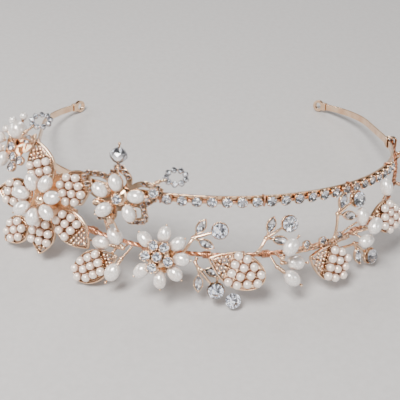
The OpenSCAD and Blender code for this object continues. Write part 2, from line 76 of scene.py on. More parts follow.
def make_camera():
    """A long lens in front of the tiara and above it, as the photograph was taken."""
    right = CAMERA_RIGHT / np.linalg.norm(CAMERA_RIGHT)
    up = CAMERA_UP - right * (CAMERA_UP @ right)
    up /= np.linalg.norm(up)
    m = np.eye(4)
    m[:3, 0], m[:3, 1], m[:3, 2] = right, up, np.cross(right, up)
    m[:3, 3] = CAMERA_AT * MM
    data = bpy.data.cameras.new("camera")
    data.lens = 72
    data.sensor_width = 36
    data.clip_start = 0.01
    data.clip_end = 10
    cam = new_object("camera", data)
    cam.matrix_world = Matrix(m.tolist())
    bpy.context.scene.camera = cam


make_camera()


# ---- reading the CAD nodes ----

def node_mesh(name):
    """Welded points in mm and triangles of a CAD node."""
    me = frame["nodes"][name].data
    me.calc_loop_triangles()
    co = np.empty(len(me.vertices) * 3, np.float32)
    me.vertices.foreach_get("co", co)
    co = co.reshape(-1, 3).astype(float) / MM
    tri = np.empty(len(me.loop_triangles) * 3, np.int32)
    me.loop_triangles.foreach_get("vertices", tri)
    _, first, inverse = np.unique(np.round(co, 3), axis=0, return_index=True, return_inverse=True)
    return co[first], inverse.ravel()[tri.reshape(-1, 3)]


class Part:
    """One loose solid: its middle, main axes from short to long, and reach along them."""

    def __init__(self, co, tri):
        self.co, self.tri = co[np.unique(tri)], tri
        a, b, c = (co[tri[:, k]] for k in range(3))
        shift = self.co.mean(0)
        a, b, c = a - shift, b - shift, c - shift
        v = np.einsum("ij,ij->i", a, np.cross(b, c)) / 6
        mid = ((a + b + c) / 4 * v[:, None]).sum(0) / v.sum()
        a, b, c = a - mid, b - mid, c - mid
        v = np.einsum("ij,ij->i", a, np.cross(b, c)) / 6
        s = a + b + c
        spread = sum(np.einsum("i,ij,ik->jk", v / 20, q, q) for q in (a, b, c, s)) / v.sum()
        self.spread, self.axes = np.linalg.eigh(spread)
        self.centre = mid + shift

    def spin_axis(self):
        """Axis of a turned piece, pointing away from the head."""
        s = self.spread
        axis = self.axes[:, 2] if s[1] - s[0] < s[2] - s[1] else self.axes[:, 0]
        return outward(axis, self.centre)

    def reach(self, axis):
        p = (self.co - self.centre) @ axis
        return p.min(), p.max()

    def sizes(self):
        """Lengths along the main axes."""
        return np.array([np.ptp(self.reach(a)) for a in self.axes.T])

    def base(self, axis):
        """Frame with Z along the axis and its origin at the piece's back."""
        return frame_at(self.centre + axis * self.reach(axis)[0], axis)


band_y = node_mesh("band")[0][:, 1]
hoop_mid_y = (band_y.min() + band_y.max()) / 2


def outward(axis, at):
    away = np.array([at[0], min(at[1] - hoop_mid_y, 0), 0])
    away /= max(np.linalg.norm(away), 1e-6)
    return axis if axis @ (away + [0, 0, 0.6]) > 0 else -axis


def frame_at(origin, z, x=None):
    z = z / np.linalg.norm(z)
    if x is None:
        x = np.array([0.0, 0.0, 1.0]) if abs(z[2]) < 0.9 else np.array([1.0, 0.0, 0.0])
    x = x - z * (x @ z)
    x = x / np.linalg.norm(x)
    m = np.eye(4)
    m[:3, 0], m[:3, 1], m[:3, 2], m[:3, 3] = x, np.cross(z, x), z, origin
    return m


def parts(name):
    co, tri = node_mesh(name)
    label = np.arange(len(co))
    while True:
        low = label[tri].min(1)
        new = label.copy()
        for k in range(3):
            np.minimum.at(new, tri[:, k], low)
        new = new[new]
        if (new == label).all():
            break
        label = new
    owner = label[tri[:, 0]]
    return [Part(co, tri[owner == k]) for k in np.unique(owner)]


def triangles(co, tri):
    """Middle, unit normal and twice the area of each triangle."""
    a, b, c = (co[tri[:, k]] for k in range(3))
    n = np.cross(b - a, c - a)
    area = np.linalg.norm(n, axis=1) + 1e-12
    return (a + b + c) / 3, n / area[:, None], area


def main_normal(co, tri, step=1):
    """The direction that the largest area of faces shares."""
    _, n, area = triangles(co, tri)
    return n[max(range(0, len(n), step), key=lambda i: area[np.abs(n @ n[i]) > 0.9995].sum())]


def ball_centre(co, tri, r):
    """Middle of the ball of radius r in a casting: where most of its faces point back to."""
    middle, n, area = triangles(co, tri)
    back = middle - n * r
    best, found = 0, None
    for p in back[:: max(1, len(back) // 400)]:
        near = np.linalg.norm(back - p, axis=1) < 0.07
        if area[near].sum() > best:
            best, found = area[near].sum(), back[near]
    return found.mean(0)


def flat_frame(name):
    """Frame of a flat casting: X from its broad end to its point, Z away from the head."""
    co, tri = node_mesh(name)
    p = Part(co, tri)
    z = outward(main_normal(co, tri), p.centre)
    x = p.axes[:, 2] - z * (p.axes[:, 2] @ z)
    x /= np.linalg.norm(x)
    m = frame_at(p.centre, z, x)
    q = (co - p.centre) @ m[:3, :3]
    ends = [np.abs(q[np.abs(q[:, 0] - e) < 1.2, 1]).max() for e in (q[:, 0].min(), q[:, 0].max())]
    if ends[0] < ends[1]:
        m = frame_at(p.centre, z, -x)
        q = (co - p.centre) @ m[:3, :3]
    low, high = q.min(0), q.max(0)
    m[:3, 3] = p.centre + m[:3, :3] @ [low[0], (low[1] + high[1]) / 2, low[2]]
    return m, high[0] - low[0], high[1] - low[1]


# ---- mesh building, in mm ----

class Shape:
    """Points and faces gathered in mm, and made into one object in metres."""

    def __init__(self):
        self.v, self.f, self.mat, self.smooth, self.n = [], [], [], [], 0

    def add(self, verts, faces, m=None, mat=0, smooth=True):
        verts = np.asarray(verts, float)
        if m is not None:
            verts = verts @ m[:3, :3].T + m[:3, 3]
        self.v.append(verts)
        self.f += [tuple(i + self.n for i in f) for f in faces]
        k = len(faces)
        self.mat += list(mat) if hasattr(mat, "__len__") else [mat] * k
        self.smooth += [smooth] * k
        self.n += len(verts)

    def make(self, name, body, replaced, slot, materials):
        me = bpy.data.meshes.new(name)
        v = np.concatenate(self.v) * MM
        me.from_pydata(v.tolist(), [], self.f)
        me.polygons.foreach_set("material_index", self.mat)
        me.polygons.foreach_set("use_smooth", self.smooth)
        for m in materials:
            me.materials.append(m)
        me.update()
        o = new_object(name, me)
        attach(o, body)
        if replaced:
            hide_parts(*replaced)
        return o


def grid_faces(rows, cols, wrap=True):
    out = []
    for i in range(rows - 1):
        for j in range(cols if wrap else cols - 1):
            k = (j + 1) % cols
            out.append((i * cols + j, i * cols + k, (i + 1) * cols + k, (i + 1) * cols + j))
    return out


def revolve(profile, n=24, wave=None):
    """A turned surface round Z. wave(angle, row) may change a row's radius and height."""
    rows = []
    angles = np.arange(n) * TAU / n
    for i, (r, z) in enumerate(profile):
        rr, zz = np.full(n, float(r)), np.full(n, float(z))
        if wave is not None:
            rr, zz = wave(angles, i, rr, zz)
        rows.append(np.stack([rr * np.cos(angles), rr * np.sin(angles), zz], 1))
    v = np.concatenate(rows)
    f = grid_faces(len(profile), n)
    f.append(tuple(range(n))[::-1])
    f.append(tuple(range((len(profile) - 1) * n, len(profile) * n)))
    return v, f


def travel_frames(path, closed):
    """Directions across a path that turn as little as possible."""
    ahead = np.roll(path, -1, 0) - np.roll(path, 1, 0)
    if not closed:
        ahead[0], ahead[-1] = path[1] - path[0], path[-1] - path[-2]
    t = ahead / np.linalg.norm(ahead, axis=1)[:, None]
    start = np.array([0.0, 0.0, 1.0]) if abs(t[0, 2]) < 0.9 else np.array([1.0, 0.0, 0.0])
    u = [start - t[0] * (start @ t[0])]
    u[0] /= np.linalg.norm(u[0])
    for k in range(1, len(path)):
        w = u[-1] - t[k] * (u[-1] @ t[k])
        u.append(w / np.linalg.norm(w))
    u = np.array(u)
    return t, u, np.cross(t, u)


def tube(path, r, n=8, closed=False, section=None, up=None):
    path = np.asarray(path, float)
    t, u, w = travel_frames(path, closed)
    if up is not None:
        u = up - t * (t @ up)[:, None]
        u /= np.linalg.norm(u, axis=1)[:, None]
        w = np.cross(t, u)
    if section is None:
        a = np.arange(n) * TAU / n
        section = np.stack([np.cos(a), np.sin(a)], 1)
    section = np.asarray(section, float)
    n = len(section)
    r = np.broadcast_to(np.asarray(r, float), (len(path),))
    v = (path[:, None] + (u[:, None] * section[None, :, :1] + w[:, None] * section[None, :, 1:])
         * r[:, None, None]).reshape(-1, 3)
    f = grid_faces(len(path), n)
    last = (len(path) - 1) * n
    if closed:
        f += [(last + j, last + (j + 1) % n, (j + 1) % n, j) for j in range(n)]
    else:
        f += [tuple(range(n))[::-1], tuple(last + j for j in range(n))]
    return v, f


def resample(path, step):
    path = np.asarray(path, float)
    d = np.concatenate([[0], np.cumsum(np.linalg.norm(np.diff(path, axis=0), axis=1))])
    s = np.linspace(0, d[-1], max(3, int(d[-1] / step)))
    return np.stack([np.interp(s, d, path[:, k]) for k in range(3)], 1)


def bow(a, b, sag, side, n=14):
    """A gently bent path from a to b."""
    t = np.linspace(0, 1, n)[:, None]
    return a + (b - a) * t + np.asarray(side) * sag * np.sin(t * math.pi)


def rope(shape, path, r, strands, pitch, n=7):
    """Two or three strands of wire, twisted together inside a radius r."""
    path = resample(path, pitch / 12)
    _, u, w = travel_frames(path, False)
    d = np.concatenate([[0], np.cumsum(np.linalg.norm(np.diff(path, axis=0), axis=1))])
    thin = r * (0.5 if strands == 2 else 0.464)
    for k in range(strands):
        a = d / pitch * TAU + k * TAU / strands
        line = path + (u * np.cos(a)[:, None] + w * np.sin(a)[:, None]) * (r - thin)
        shape.add(*tube(line, thin, n))


COIL_STEPS = 22  # points in each turn


def coil(shape, a, b, radius, wire, turns, wobble=0.02):
    """A wire wound round the line from a to b."""
    axis = b - a
    k = np.linspace(0, 1, int(turns * COIL_STEPS) + 1)
    ang = k * turns * TAU
    rad = radius + wobble * np.sin(ang * 0.37 + a[0])
    line = np.stack([rad * np.cos(ang), rad * np.sin(ang), k * np.linalg.norm(axis)], 1)
    shape.add(*tube(line, wire, 7), m=frame_at(a, axis))


def ellipsoid(d, l, seed, rough=0.012, n=22, rows=15):
    """A pearl along Z: nearly round, with the slow unevenness of nacre."""
    th = np.linspace(0.08, math.pi - 0.08, rows)
    a = np.arange(n) * TAU / n
    q = np.random.default_rng(seed)
    ph = q.uniform(0, TAU, 6)
    v = []
    for t in th:
        bump = 1 + rough * (np.sin(2 * a + ph[0]) * math.sin(t) + 0.7 * np.sin(3 * a + ph[1] + 2 * t)
                            * math.sin(t) + 0.8 * math.sin(3 * t + ph[2]))
        flat = 0.985 if t < 0.3 or t > math.pi - 0.3 else 1.0
        v.append(np.stack([d / 2 * math.sin(t) * np.cos(a) * bump,
                           d / 2 * math.sin(t) * np.sin(a) * bump,
                           np.full(n, -l / 2 * math.cos(t) * flat)], 1))
    v = np.concatenate(v)
    f = grid_faces(rows, n)
    f += [tuple(range(n))[::-1], tuple((rows - 1) * n + j for j in range(n))]
    return v, f


def ball(r, n=10, rows=7):
    return ellipsoid(2 * r, 2 * r, 1, 0.0, n, rows)


def add_ball(shape, r, at, m=None, n=10, rows=7):
    v, f = ball(r, n, rows)
    shape.add(v + at, f, m=m)


def brilliant(d):
    """Round brilliant cut, point at z = 0. Returns points, faces and a material for each:
    0 the clear crown, 1 the silvered back."""
    r = d / 2
    girdle_z, table_z = 0.42 * d, 0.62 * d

    def ring(radius, z, turn=0.0, n=8):
        angles = [(k + turn) * TAU / n for k in range(n)]
        return [[radius * math.cos(a), radius * math.sin(a), z] for a in angles]

    v = ring(0.58 * r, table_z) + ring(0.8 * r, girdle_z + 0.12 + (table_z - girdle_z) * 0.52, 0.5)
    v += ring(r, girdle_z + 0.12, n=16) + ring(r, girdle_z, n=16)
    v += ring(0.45 * r, girdle_z * 0.5, 0.5) + [[0, 0, 0.02 * d]]
    # where each ring starts in the list of points
    table, star, top, low, back, point = 0, 8, 16, 32, 48, 56
    f, mat = [tuple(range(8))], [0]
    for k in range(8):
        k1, km = (k + 1) % 8, (k - 1) % 8
        g0, g1, g2 = 2 * k, 2 * k + 1, (2 * k + 2) % 16
        f += [(table + k, star + k, table + k1), (table + k, star + km, top + g0, star + k),
              (star + k, top + g0, top + g1), (star + k, top + g1, top + g2)]
        mat += [0] * 4
        f += [(point, back + km, low + g0, back + k), (back + k, low + g1, low + g0),
              (back + k, low + g2, low + g1)]
        mat += [1] * 3
    for k in range(16):
        k1 = (k + 1) % 16
        f.append((top + k, low + k, low + k1, top + k1))
        mat.append(0)
    return np.array(v), f, mat


def fix_normals(me):
    bm = bmesh.new()
    bm.from_mesh(me)
    bmesh.ops.recalc_face_normals(bm, faces=bm.faces)
    bm.to_mesh(me)
    bm.free()


def navette_points(l, w, n=18):
    """Outline of a navette: two arcs that meet in points."""
    r = (l * l + w * w) / (4 * w)
    half = math.asin(l / 2 / r)
    a = np.linspace(-half, half, n // 2 + 1)
    top = np.stack([r * np.sin(a), r * np.cos(a) - (r - w / 2)], 1)
    return np.concatenate([top[::-1], -top[::-1][1:-1]])


def navette_ring(l, w, z, n=18):
    p = navette_points(l, w, n)
    a = np.arctan2(p[:, 1] / w, p[:, 0] / l)
    p = p[np.argsort(a)]
    return np.concatenate([p, np.full((len(p), 1), z)], 1)


def navette_gem(l, w, h):
    rows = [navette_ring(l * s, w * s, z) for s, z in
            ((0.2, 0.0), (0.97, h * 0.3), (1.0, h * 0.4), (0.82, h * 0.78), (0.55, h))]
    n = len(rows[0])
    v = np.concatenate(rows)
    f, mat = [], []
    for i in range(4):
        for j in range(n):
            k = (j + 1) % n
            q = (i * n + j, i * n + k, (i + 1) * n + k, (i + 1) * n + j)
            if (j + i) % 2:
                f += [(q[0], q[1], q[2]), (q[0], q[2], q[3])]
            else:
                f += [(q[0], q[1], q[3]), (q[1], q[2], q[3])]
            mat += [1 if i == 0 else 0] * 2
    f += [tuple(range(n))[::-1], tuple(4 * n + j for j in range(n))]
    mat += [1, 0]
    return v, f, mat


CUP_WALL = 0.25


def cup(shape, m, d, h, claws, scallops):
    """A stone's setting: a turned cup with a waved rim and claws bent over the stone."""
    r = d / 2 + CUP_WALL

    def wave(a, i, rr, zz):
        if i in (3, 4, 5):
            zz = zz + 0.07 * np.cos(scallops * a) - 0.05
        return rr, zz

    profile = [(0.5 * r, 0), (0.86 * r, 0.02), (r * 0.97, h * 0.35), (r, h * 0.93), (r - 0.08, h),
               (r - CUP_WALL, h * 0.92), (r - CUP_WALL, 0.42), (0.3, 0.3)]
    shape.add(*revolve(profile, 32, wave), m=m)
    for k in range(claws):
        a = (k + 0.5) * TAU / claws
        c = np.array([math.cos(a), math.sin(a), 0])
        path = [c * (r - inward) + [0, 0, z] for inward, z in (
            (0.05, h * 0.3), (0.02, h * 0.8), (0.12, h + 0.1), (0.42, h + 0.3), (0.55, h + 0.28))]
        shape.add(*tube(path, [0.16, 0.17, 0.17, 0.15, 0.08], 8), m=m)


# ---- materials ----

def new_material(name):
    m = bpy.data.materials.new(name)
    m.use_nodes = True
    t = m.node_tree
    return m, t, t.nodes["Principled BSDF"]


def noise(t, scale, detail=4.0, rough=0.55):
    n = t.nodes.new("ShaderNodeTexNoise")
    c = t.nodes.new("ShaderNodeTexCoord")
    n.inputs["Scale"].default_value = scale
    n.inputs["Detail"].default_value = detail
    n.inputs["Roughness"].default_value = rough
    t.links.new(c.outputs["Object"], n.inputs["Vector"])
    return n


def ramp(t, source, stops):
    r = t.nodes.new("ShaderNodeValToRGB")
    while len(r.color_ramp.elements) < len(stops):
        r.color_ramp.elements.new(0.5)
    for e, (p, c) in zip(r.color_ramp.elements, stops):
        e.position = p
        e.color = (*c, 1) if len(c) == 3 else c
    t.links.new(source, r.inputs["Fac"])
    return r.outputs["Color"]


def bump(t, b, source, strength, distance):
    n = t.nodes.new("ShaderNodeBump")
    n.inputs["Strength"].default_value = strength
    n.inputs["Distance"].default_value = distance
    t.links.new(source, n.inputs["Height"])
    t.links.new(n.outputs["Normal"], b.inputs["Normal"])


def painted_recess_shade(t, colour, shade, distance, depth=1.0):
    """The colour, going over to a painted shade colour where other surfaces stand close: painted shade from
    ambient occlusion.
    """
    ao = t.nodes.new("ShaderNodeAmbientOcclusion")
    ao.samples = 6
    ao.inputs["Distance"].default_value = distance
    mix = t.nodes.new("ShaderNodeMixRGB")
    mix.inputs["Color2"].default_value = (*shade, 1)
    t.links.new(colour, mix.inputs["Color1"])
    k = ramp(t, ao.outputs["AO"], [(0.25, (depth,) * 3), (0.85, (0.0,) * 3)])
    t.links.new(k, mix.inputs["Fac"])
    return mix.outputs["Color"]


def metal(name, bright, dark, rough_low, rough_high, scale=700, painted_shade_colour=None):
    m, t, b = new_material(name)
    b.inputs["Metallic"].default_value = 1.0
    wide, fine = noise(t, scale * 0.35), noise(t, scale * 3.2, 5.0, 0.65)
    colour = ramp(t, wide.outputs["Fac"], [(0.3, dark), (0.62, bright)])
    # painted shade: the metal's colour goes dark where other surfaces stand close
    if painted_shade_colour:
        colour = painted_recess_shade(t, colour, painted_shade_colour, 0.0012)
    t.links.new(colour, b.inputs["Base Color"])
    g = ramp(t, fine.outputs["Fac"], [(0.3, (rough_low,) * 3), (0.72, (rough_high,) * 3)])
    t.links.new(g, b.inputs["Roughness"])
    bump(t, b, fine.outputs["Fac"], 0.25, 0.00006)
    return m


# Gold and copper carry painted shade: a dark brown in their recesses.
GOLD = metal("rose_gold", (0.97, 0.71, 0.49), (0.80, 0.50, 0.31), 0.10, 0.28,
             painted_shade_colour=(0.26, 0.13, 0.07))
COPPER = metal("copper_wire", (0.84, 0.44, 0.27), (0.60, 0.28, 0.16), 0.16, 0.38, 900,
               painted_shade_colour=(0.20, 0.08, 0.04))


def pearl_material(name, base, warm, shade):
    """Nacre: a glossy coat over a faintly metallic, slightly translucent body, with painted shade where pearls
    stand close.
    """
    m, t, b = new_material(name)
    wide, fine = noise(t, 260, 3.0), noise(t, 2600, 4.0, 0.6)
    colour = ramp(t, wide.outputs["Fac"], [(0.28, warm), (0.5, base), (0.74, base)])
    # painted shade: the pearl's colour goes over to the shade colour where other surfaces stand close
    t.links.new(painted_recess_shade(t, colour, shade, 0.0016, 0.85), b.inputs["Base Color"])
    t.links.new(ramp(t, fine.outputs["Fac"], [(0.3, (0.20,) * 3), (0.75, (0.32,) * 3)]),
                b.inputs["Roughness"])
    for socket, value in (("Metallic", 0.42), ("Subsurface Weight", 0.06),
                          ("Subsurface Radius", (0.0012, 0.0008, 0.0006)),
                          ("Subsurface Scale", 1.0), ("Specular IOR Level", 0.8),
                          ("Coat Weight", 1.0), ("Coat Roughness", 0.15), ("Coat IOR", 1.8),
                          ("Sheen Weight", 0.1), ("Sheen Roughness", 0.4),
                          ("Sheen Tint", (0.9, 0.86, 1.0, 1))):
        b.inputs[socket].default_value = value
    bump(t, b, fine.outputs["Fac"], 0.12, 0.00005)
    return m


# The last colour of each pearl is painted shade for where pearls and castings stand close.
SEED = pearl_material("seed_pearl", (0.94, 0.82, 0.73), (0.86, 0.66, 0.54),
                      (0.62, 0.30, 0.17))
PEARL = pearl_material("rice_pearl", (0.90, 0.85, 0.81), (0.84, 0.74, 0.68),
                       (0.60, 0.38, 0.27))


def glass(name, colour, rough, ior):
    m, t, b = new_material(name)
    n = noise(t, 1500, 3.0)
    t.links.new(ramp(t, n.outputs["Fac"], [(0.35, (rough,) * 3), (0.7, (rough * 2.4,) * 3)]),
                b.inputs["Roughness"])
    b.inputs["Base Color"].default_value = (*colour, 1)
    b.inputs["Transmission Weight"].default_value = 1.0
    b.inputs["IOR"].default_value = ior
    return m


CLEAR = glass("crystal_crown", (0.98, 0.985, 1.0), 0.012, 1.6)
FOIL = metal("crystal_foil", (0.93, 0.94, 0.97), (0.80, 0.82, 0.88), 0.05, 0.14, 1200)

METALS = [GOLD, COPPER]
STONE = [CLEAR, FOIL]

bodies = {n: b for b, ns in frame["record"]["behaviour"]["bodies"].items() for n in ns}
ROOT = bodies["band"]


# ---- the hoop: strap, cup chain, ties ----
# The strap's bends, as in the CAD source: front radius, straight side, bent-in end

HOOP_R, SIDE, END_R, END_TURN = 65.0, 20.0, 41.0, 44.0
STRAP_H, STRAP_T = 2.6, 0.8


def hoop_frame():
    """Frame of the strap: origin in the middle of its height, X across and Y to the back."""
    co, tri = node_mesh("band")
    p = Part(co, tri)
    z = p.axes[:, 0] if p.axes[2, 0] > 0 else -p.axes[:, 0]
    m = frame_at(p.centre, z, np.array([1.0, 0, 0]))
    q = (co - p.centre) @ m[:3, :3]
    low, high = q.min(0), q.max(0)
    m[:3, 3] += m[:3, :3] @ [(low[0] + high[0]) / 2, low[1] + HOOP_R + STRAP_T / 2,
                             (low[2] + high[2]) / 2]
    return m


HOOP = hoop_frame()


def hoop_path():
    right = [[HOOP_R * math.sin(a), -HOOP_R * math.cos(a), 0] for a in np.linspace(0, math.pi / 2, 70)]
    right += [[HOOP_R, y, 0] for y in np.linspace(0, SIDE, 16)[1:]]
    cx = HOOP_R - END_R
    right += [[cx + END_R * math.cos(a), SIDE + END_R * math.sin(a), 0]
              for a in np.radians(np.linspace(0, END_TURN, 30)[1:])]
    left = [[-x, y, z] for x, y, z in right[:0:-1]]
    return np.array(left + right)


def rounded_section(w, h, r, steps=4):
    """Outline of a rounded rectangle."""
    out = []
    for k, (sx, sy) in enumerate(((1, 1), (-1, 1), (-1, -1), (1, -1))):
        for a in np.linspace(0, math.pi / 2, steps) + k * math.pi / 2:
            out.append([sx * (w / 2 - r) + r * math.cos(a), sy * (h / 2 - r) + r * math.sin(a)])
    return np.array(out)


s = Shape()
# the section's first axis is the strap's height
sec = rounded_section(STRAP_H, STRAP_T, 0.16)
s.add(*tube(hoop_path(), 1.0, section=sec, up=np.array([0, 0, 1.0])), m=HOOP)
s.make("hoop_strap", ROOT, ["band"], "rose_gold", METALS)


def round_stones(name, piece):
    """Brilliants for a node's stones, each turned by chance about its own axis."""
    s = Shape()
    for p in parts(name):
        turn = rng.uniform(0, TAU)
        c, sn = math.cos(turn), math.sin(turn)
        spin = np.array([[c, -sn, 0, 0], [sn, c, 0, 0], [0, 0, 1, 0], [0, 0, 0, 1]])
        v, f, mat = brilliant(p.sizes().max())
        s.add(v, f, m=p.base(p.spin_axis()) @ spin, mat=mat, smooth=False)
    o = s.make(piece, ROOT, [name], "crystal", STONE)
    fix_normals(o.data)


def round_cups(name, piece, claws, scallops):
    s = Shape()
    for p in parts(name):
        axis = p.spin_axis()
        cup(s, p.base(axis), p.sizes().max() - 0.5, np.ptp(p.reach(axis)), claws, scallops)
    s.make(piece, ROOT, [name], "rose_gold", METALS)


round_cups("chain_cups", "chain_settings", 4, 16)
round_stones("chain_stones", "chain_crystals")

s = Shape()
for p in parts("chain_links"):
    m = frame_at(p.centre, p.axes[:, 0], p.axes[:, 2])
    half = np.ptp(p.reach(p.axes[:, 2])) / 2
    x = np.array([-1.0, -0.8, -0.3, 0.3, 0.8, 1.0]) * half
    line = np.stack([x, 0 * x, 0 * x], 1)
    s.add(*tube(line, [0.7, 0.95, 0.85, 0.85, 0.95, 0.7], section=rounded_section(0.5, 0.7, 0.2)),
          m=m)
s.make("chain_bars", ROOT, ["chain_links"], "rose_gold", [COPPER])


def wound_clip(s, p, wire, turns):
    """Wire wound round two strips, in the outline of the CAD's clip."""
    along = np.cross([0, 0, 1], p.centre - [0, hoop_mid_y, p.centre[2]])
    axis = max(p.axes.T, key=lambda a: abs(a @ along))
    a, b = [q for q in p.axes.T if abs(q @ axis) < 0.5]
    ha, hb = np.ptp(p.reach(a)) / 2 - wire, np.ptp(p.reach(b)) / 2 - wire
    length = np.ptp(p.reach(axis)) - 2 * wire
    loop = rounded_section(2 * ha, 2 * hb, min(ha, hb) * 0.45, 7)
    n = len(loop)
    k = np.arange(int(n * turns) + 1)
    line = (p.centre + loop[k % n, :1] * a + loop[k % n, 1:] * b
            + (k / k[-1] - 0.5)[:, None] * length * axis)
    s.add(*tube(line, wire, 8))


def windings(name, piece, slot, material, wire, turns):
    s = Shape()
    for p in parts(name):
        wound_clip(s, p, wire, turns)
    s.make(piece, ROOT, [name], slot, [material])


windings("chain_clips", "chain_ties", "copper_wire", COPPER, 0.15, 2.5)
windings("join_collars", "join_windings", "rose_gold", GOLD, 0.22, 6.5)


# ---- the vine ----

def arc_in(m, r, a0, a1, n):
    """Points at radius r, by angle from the front in degrees."""
    a = np.radians(np.linspace(a0, a1, n))
    p = np.stack([r * np.sin(a), -r * np.cos(a), 0 * a], 1)
    return p @ m[:3, :3].T + m[:3, 3]


VINE_R, VINE_TURN, JOIN, SLOPE = 66.4, 50.0, 84.0, math.radians(7.4)
VINE_WIRE_R = 0.8


def vine_frame():
    """Frame of the vine's front bend: its middle line's plane, from the CAD wire."""
    co, _ = node_mesh("vine_wire")
    front_y = co[:, 1].min()
    front_z = co[co[:, 1] < front_y + 2 * VINE_WIRE_R, 2].mean()
    m = np.eye(4)
    m[:3, 1] = [0, math.cos(SLOPE), -math.sin(SLOPE)]
    m[:3, 2] = [0, math.sin(SLOPE), math.cos(SLOPE)]
    m[:3, 3] = np.array([0, front_y + VINE_WIRE_R, front_z]) + m[:3, :3] @ [0, VINE_R, 0]
    return m


VINE = vine_frame()


def vine_path():
    """The vine's middle line: its front bend, and each end rising to the strap."""
    front = arc_in(VINE, VINE_R, -VINE_TURN, VINE_TURN, 80)
    co, _ = node_mesh("vine_wire")
    n, rest = 40, JOIN + 3 - VINE_TURN
    rise = np.sin(np.radians(np.linspace(0, rest, n))) / math.sin(math.radians(rest))
    path = {}
    for side in (-1, 1):
        knee = front[0] if side < 0 else front[-1]
        end = co[co[:, 0] * side > np.abs(co[:, 0]).max() - 2.2].mean(0)
        # the rising end bends round the head with the same radius
        a = np.radians(np.linspace(VINE_TURN, JOIN + 3, n)) * side
        flat = np.stack([VINE_R * np.sin(a), -VINE_R * np.cos(a)], 1)
        flat = flat - flat[0] + knee[:2]
        tops = co[np.linalg.norm(co[:, :2] - flat[-1], axis=1) < 1.6]
        top_z = tops[:, 2].mean() if len(tops) else end[2]
        z = knee[2] + (top_z - knee[2]) * rise
        path[side] = np.concatenate([flat, z[:, None]], 1)
    return np.concatenate([path[-1][:0:-1], front, path[1][1:]])


VINE_LINE = vine_path()


def foot_on_vine(co, step):
    """Where a stem stands on the vine: the middle of its points nearest to the vine's line."""
    gap = np.linalg.norm(VINE_LINE[:, None] - co[None, ::step], axis=2).min(1)
    near = VINE_LINE[np.argmin(gap)]
    return co[np.argsort(np.linalg.norm(co - near, axis=1))[:6]].mean(0)


s = Shape()
rope(s, VINE_LINE, VINE_WIRE_R, 3, 7.0, 9)
s.make("vine_rope", ROOT, ["vine_wire"], "copper_wire", [COPPER])

s = Shape()
turns = parts("vine_bindings")
left = list(range(len(turns)))
while left:
    group = [left[0]]
    for i in left[1:]:
        if min(np.linalg.norm(turns[i].centre - turns[g].centre) for g in group) < 0.9:
            group.append(i)
    left = [i for i in left if i not in group]
    c = np.array([turns[i].centre for i in group])
    far = c[np.argmax(np.linalg.norm(c - c[0], axis=1))]
    far2 = c[np.argmax(np.linalg.norm(c - far, axis=1))]
    d = (far - far2) / np.linalg.norm(far - far2)
    coil(s, far2 - d * 0.34, far + d * 0.34, 1.06, 0.26, 4.5)
s.make("vine_windings", ROOT, ["vine_bindings"], "copper_wire", [COPPER])


# ---- cast leaves and their pearls ----

SEED_D, RIM, LEAF_H, GRAIN = 2.7, 0.6, 1.3, 1.1
SEEDS = parts("leaf_flower_seed_pearls") + parts("leaf_bud_pearls")


def leaf_half(x, l, w):
    c = 0.45 * l
    x = np.clip(x, 0, l)
    return np.where(x < c, w / 2 * np.sqrt(np.maximum(0, 1 - ((c - x) / c) ** 2)),
                    w / 2 * (1 - np.maximum((x - c) / (l - c), 0) ** 1.8))


def leaf_ring(l, w, inset, z, n=34):
    """Closed outline of a leaf, drawn in by inset."""
    l2, w2 = l - 3 * inset, w - 2 * inset
    x = l2 * (1 - np.cos(math.pi * np.arange(n + 1) / n)) / 2
    y = leaf_half(x, l2, w2)
    p = np.concatenate([np.stack([x, y], 1), np.stack([x, -y], 1)[-2:0:-1]])
    return np.concatenate([p + [inset, 0], np.full((len(p), 1), z)], 1)


def smooth_closed(p, step):
    p = resample(np.concatenate([p, p[:1]]), step)[:-1]
    return (np.roll(p, 1, 0) + 2 * p + np.roll(p, -1, 0)) / 4


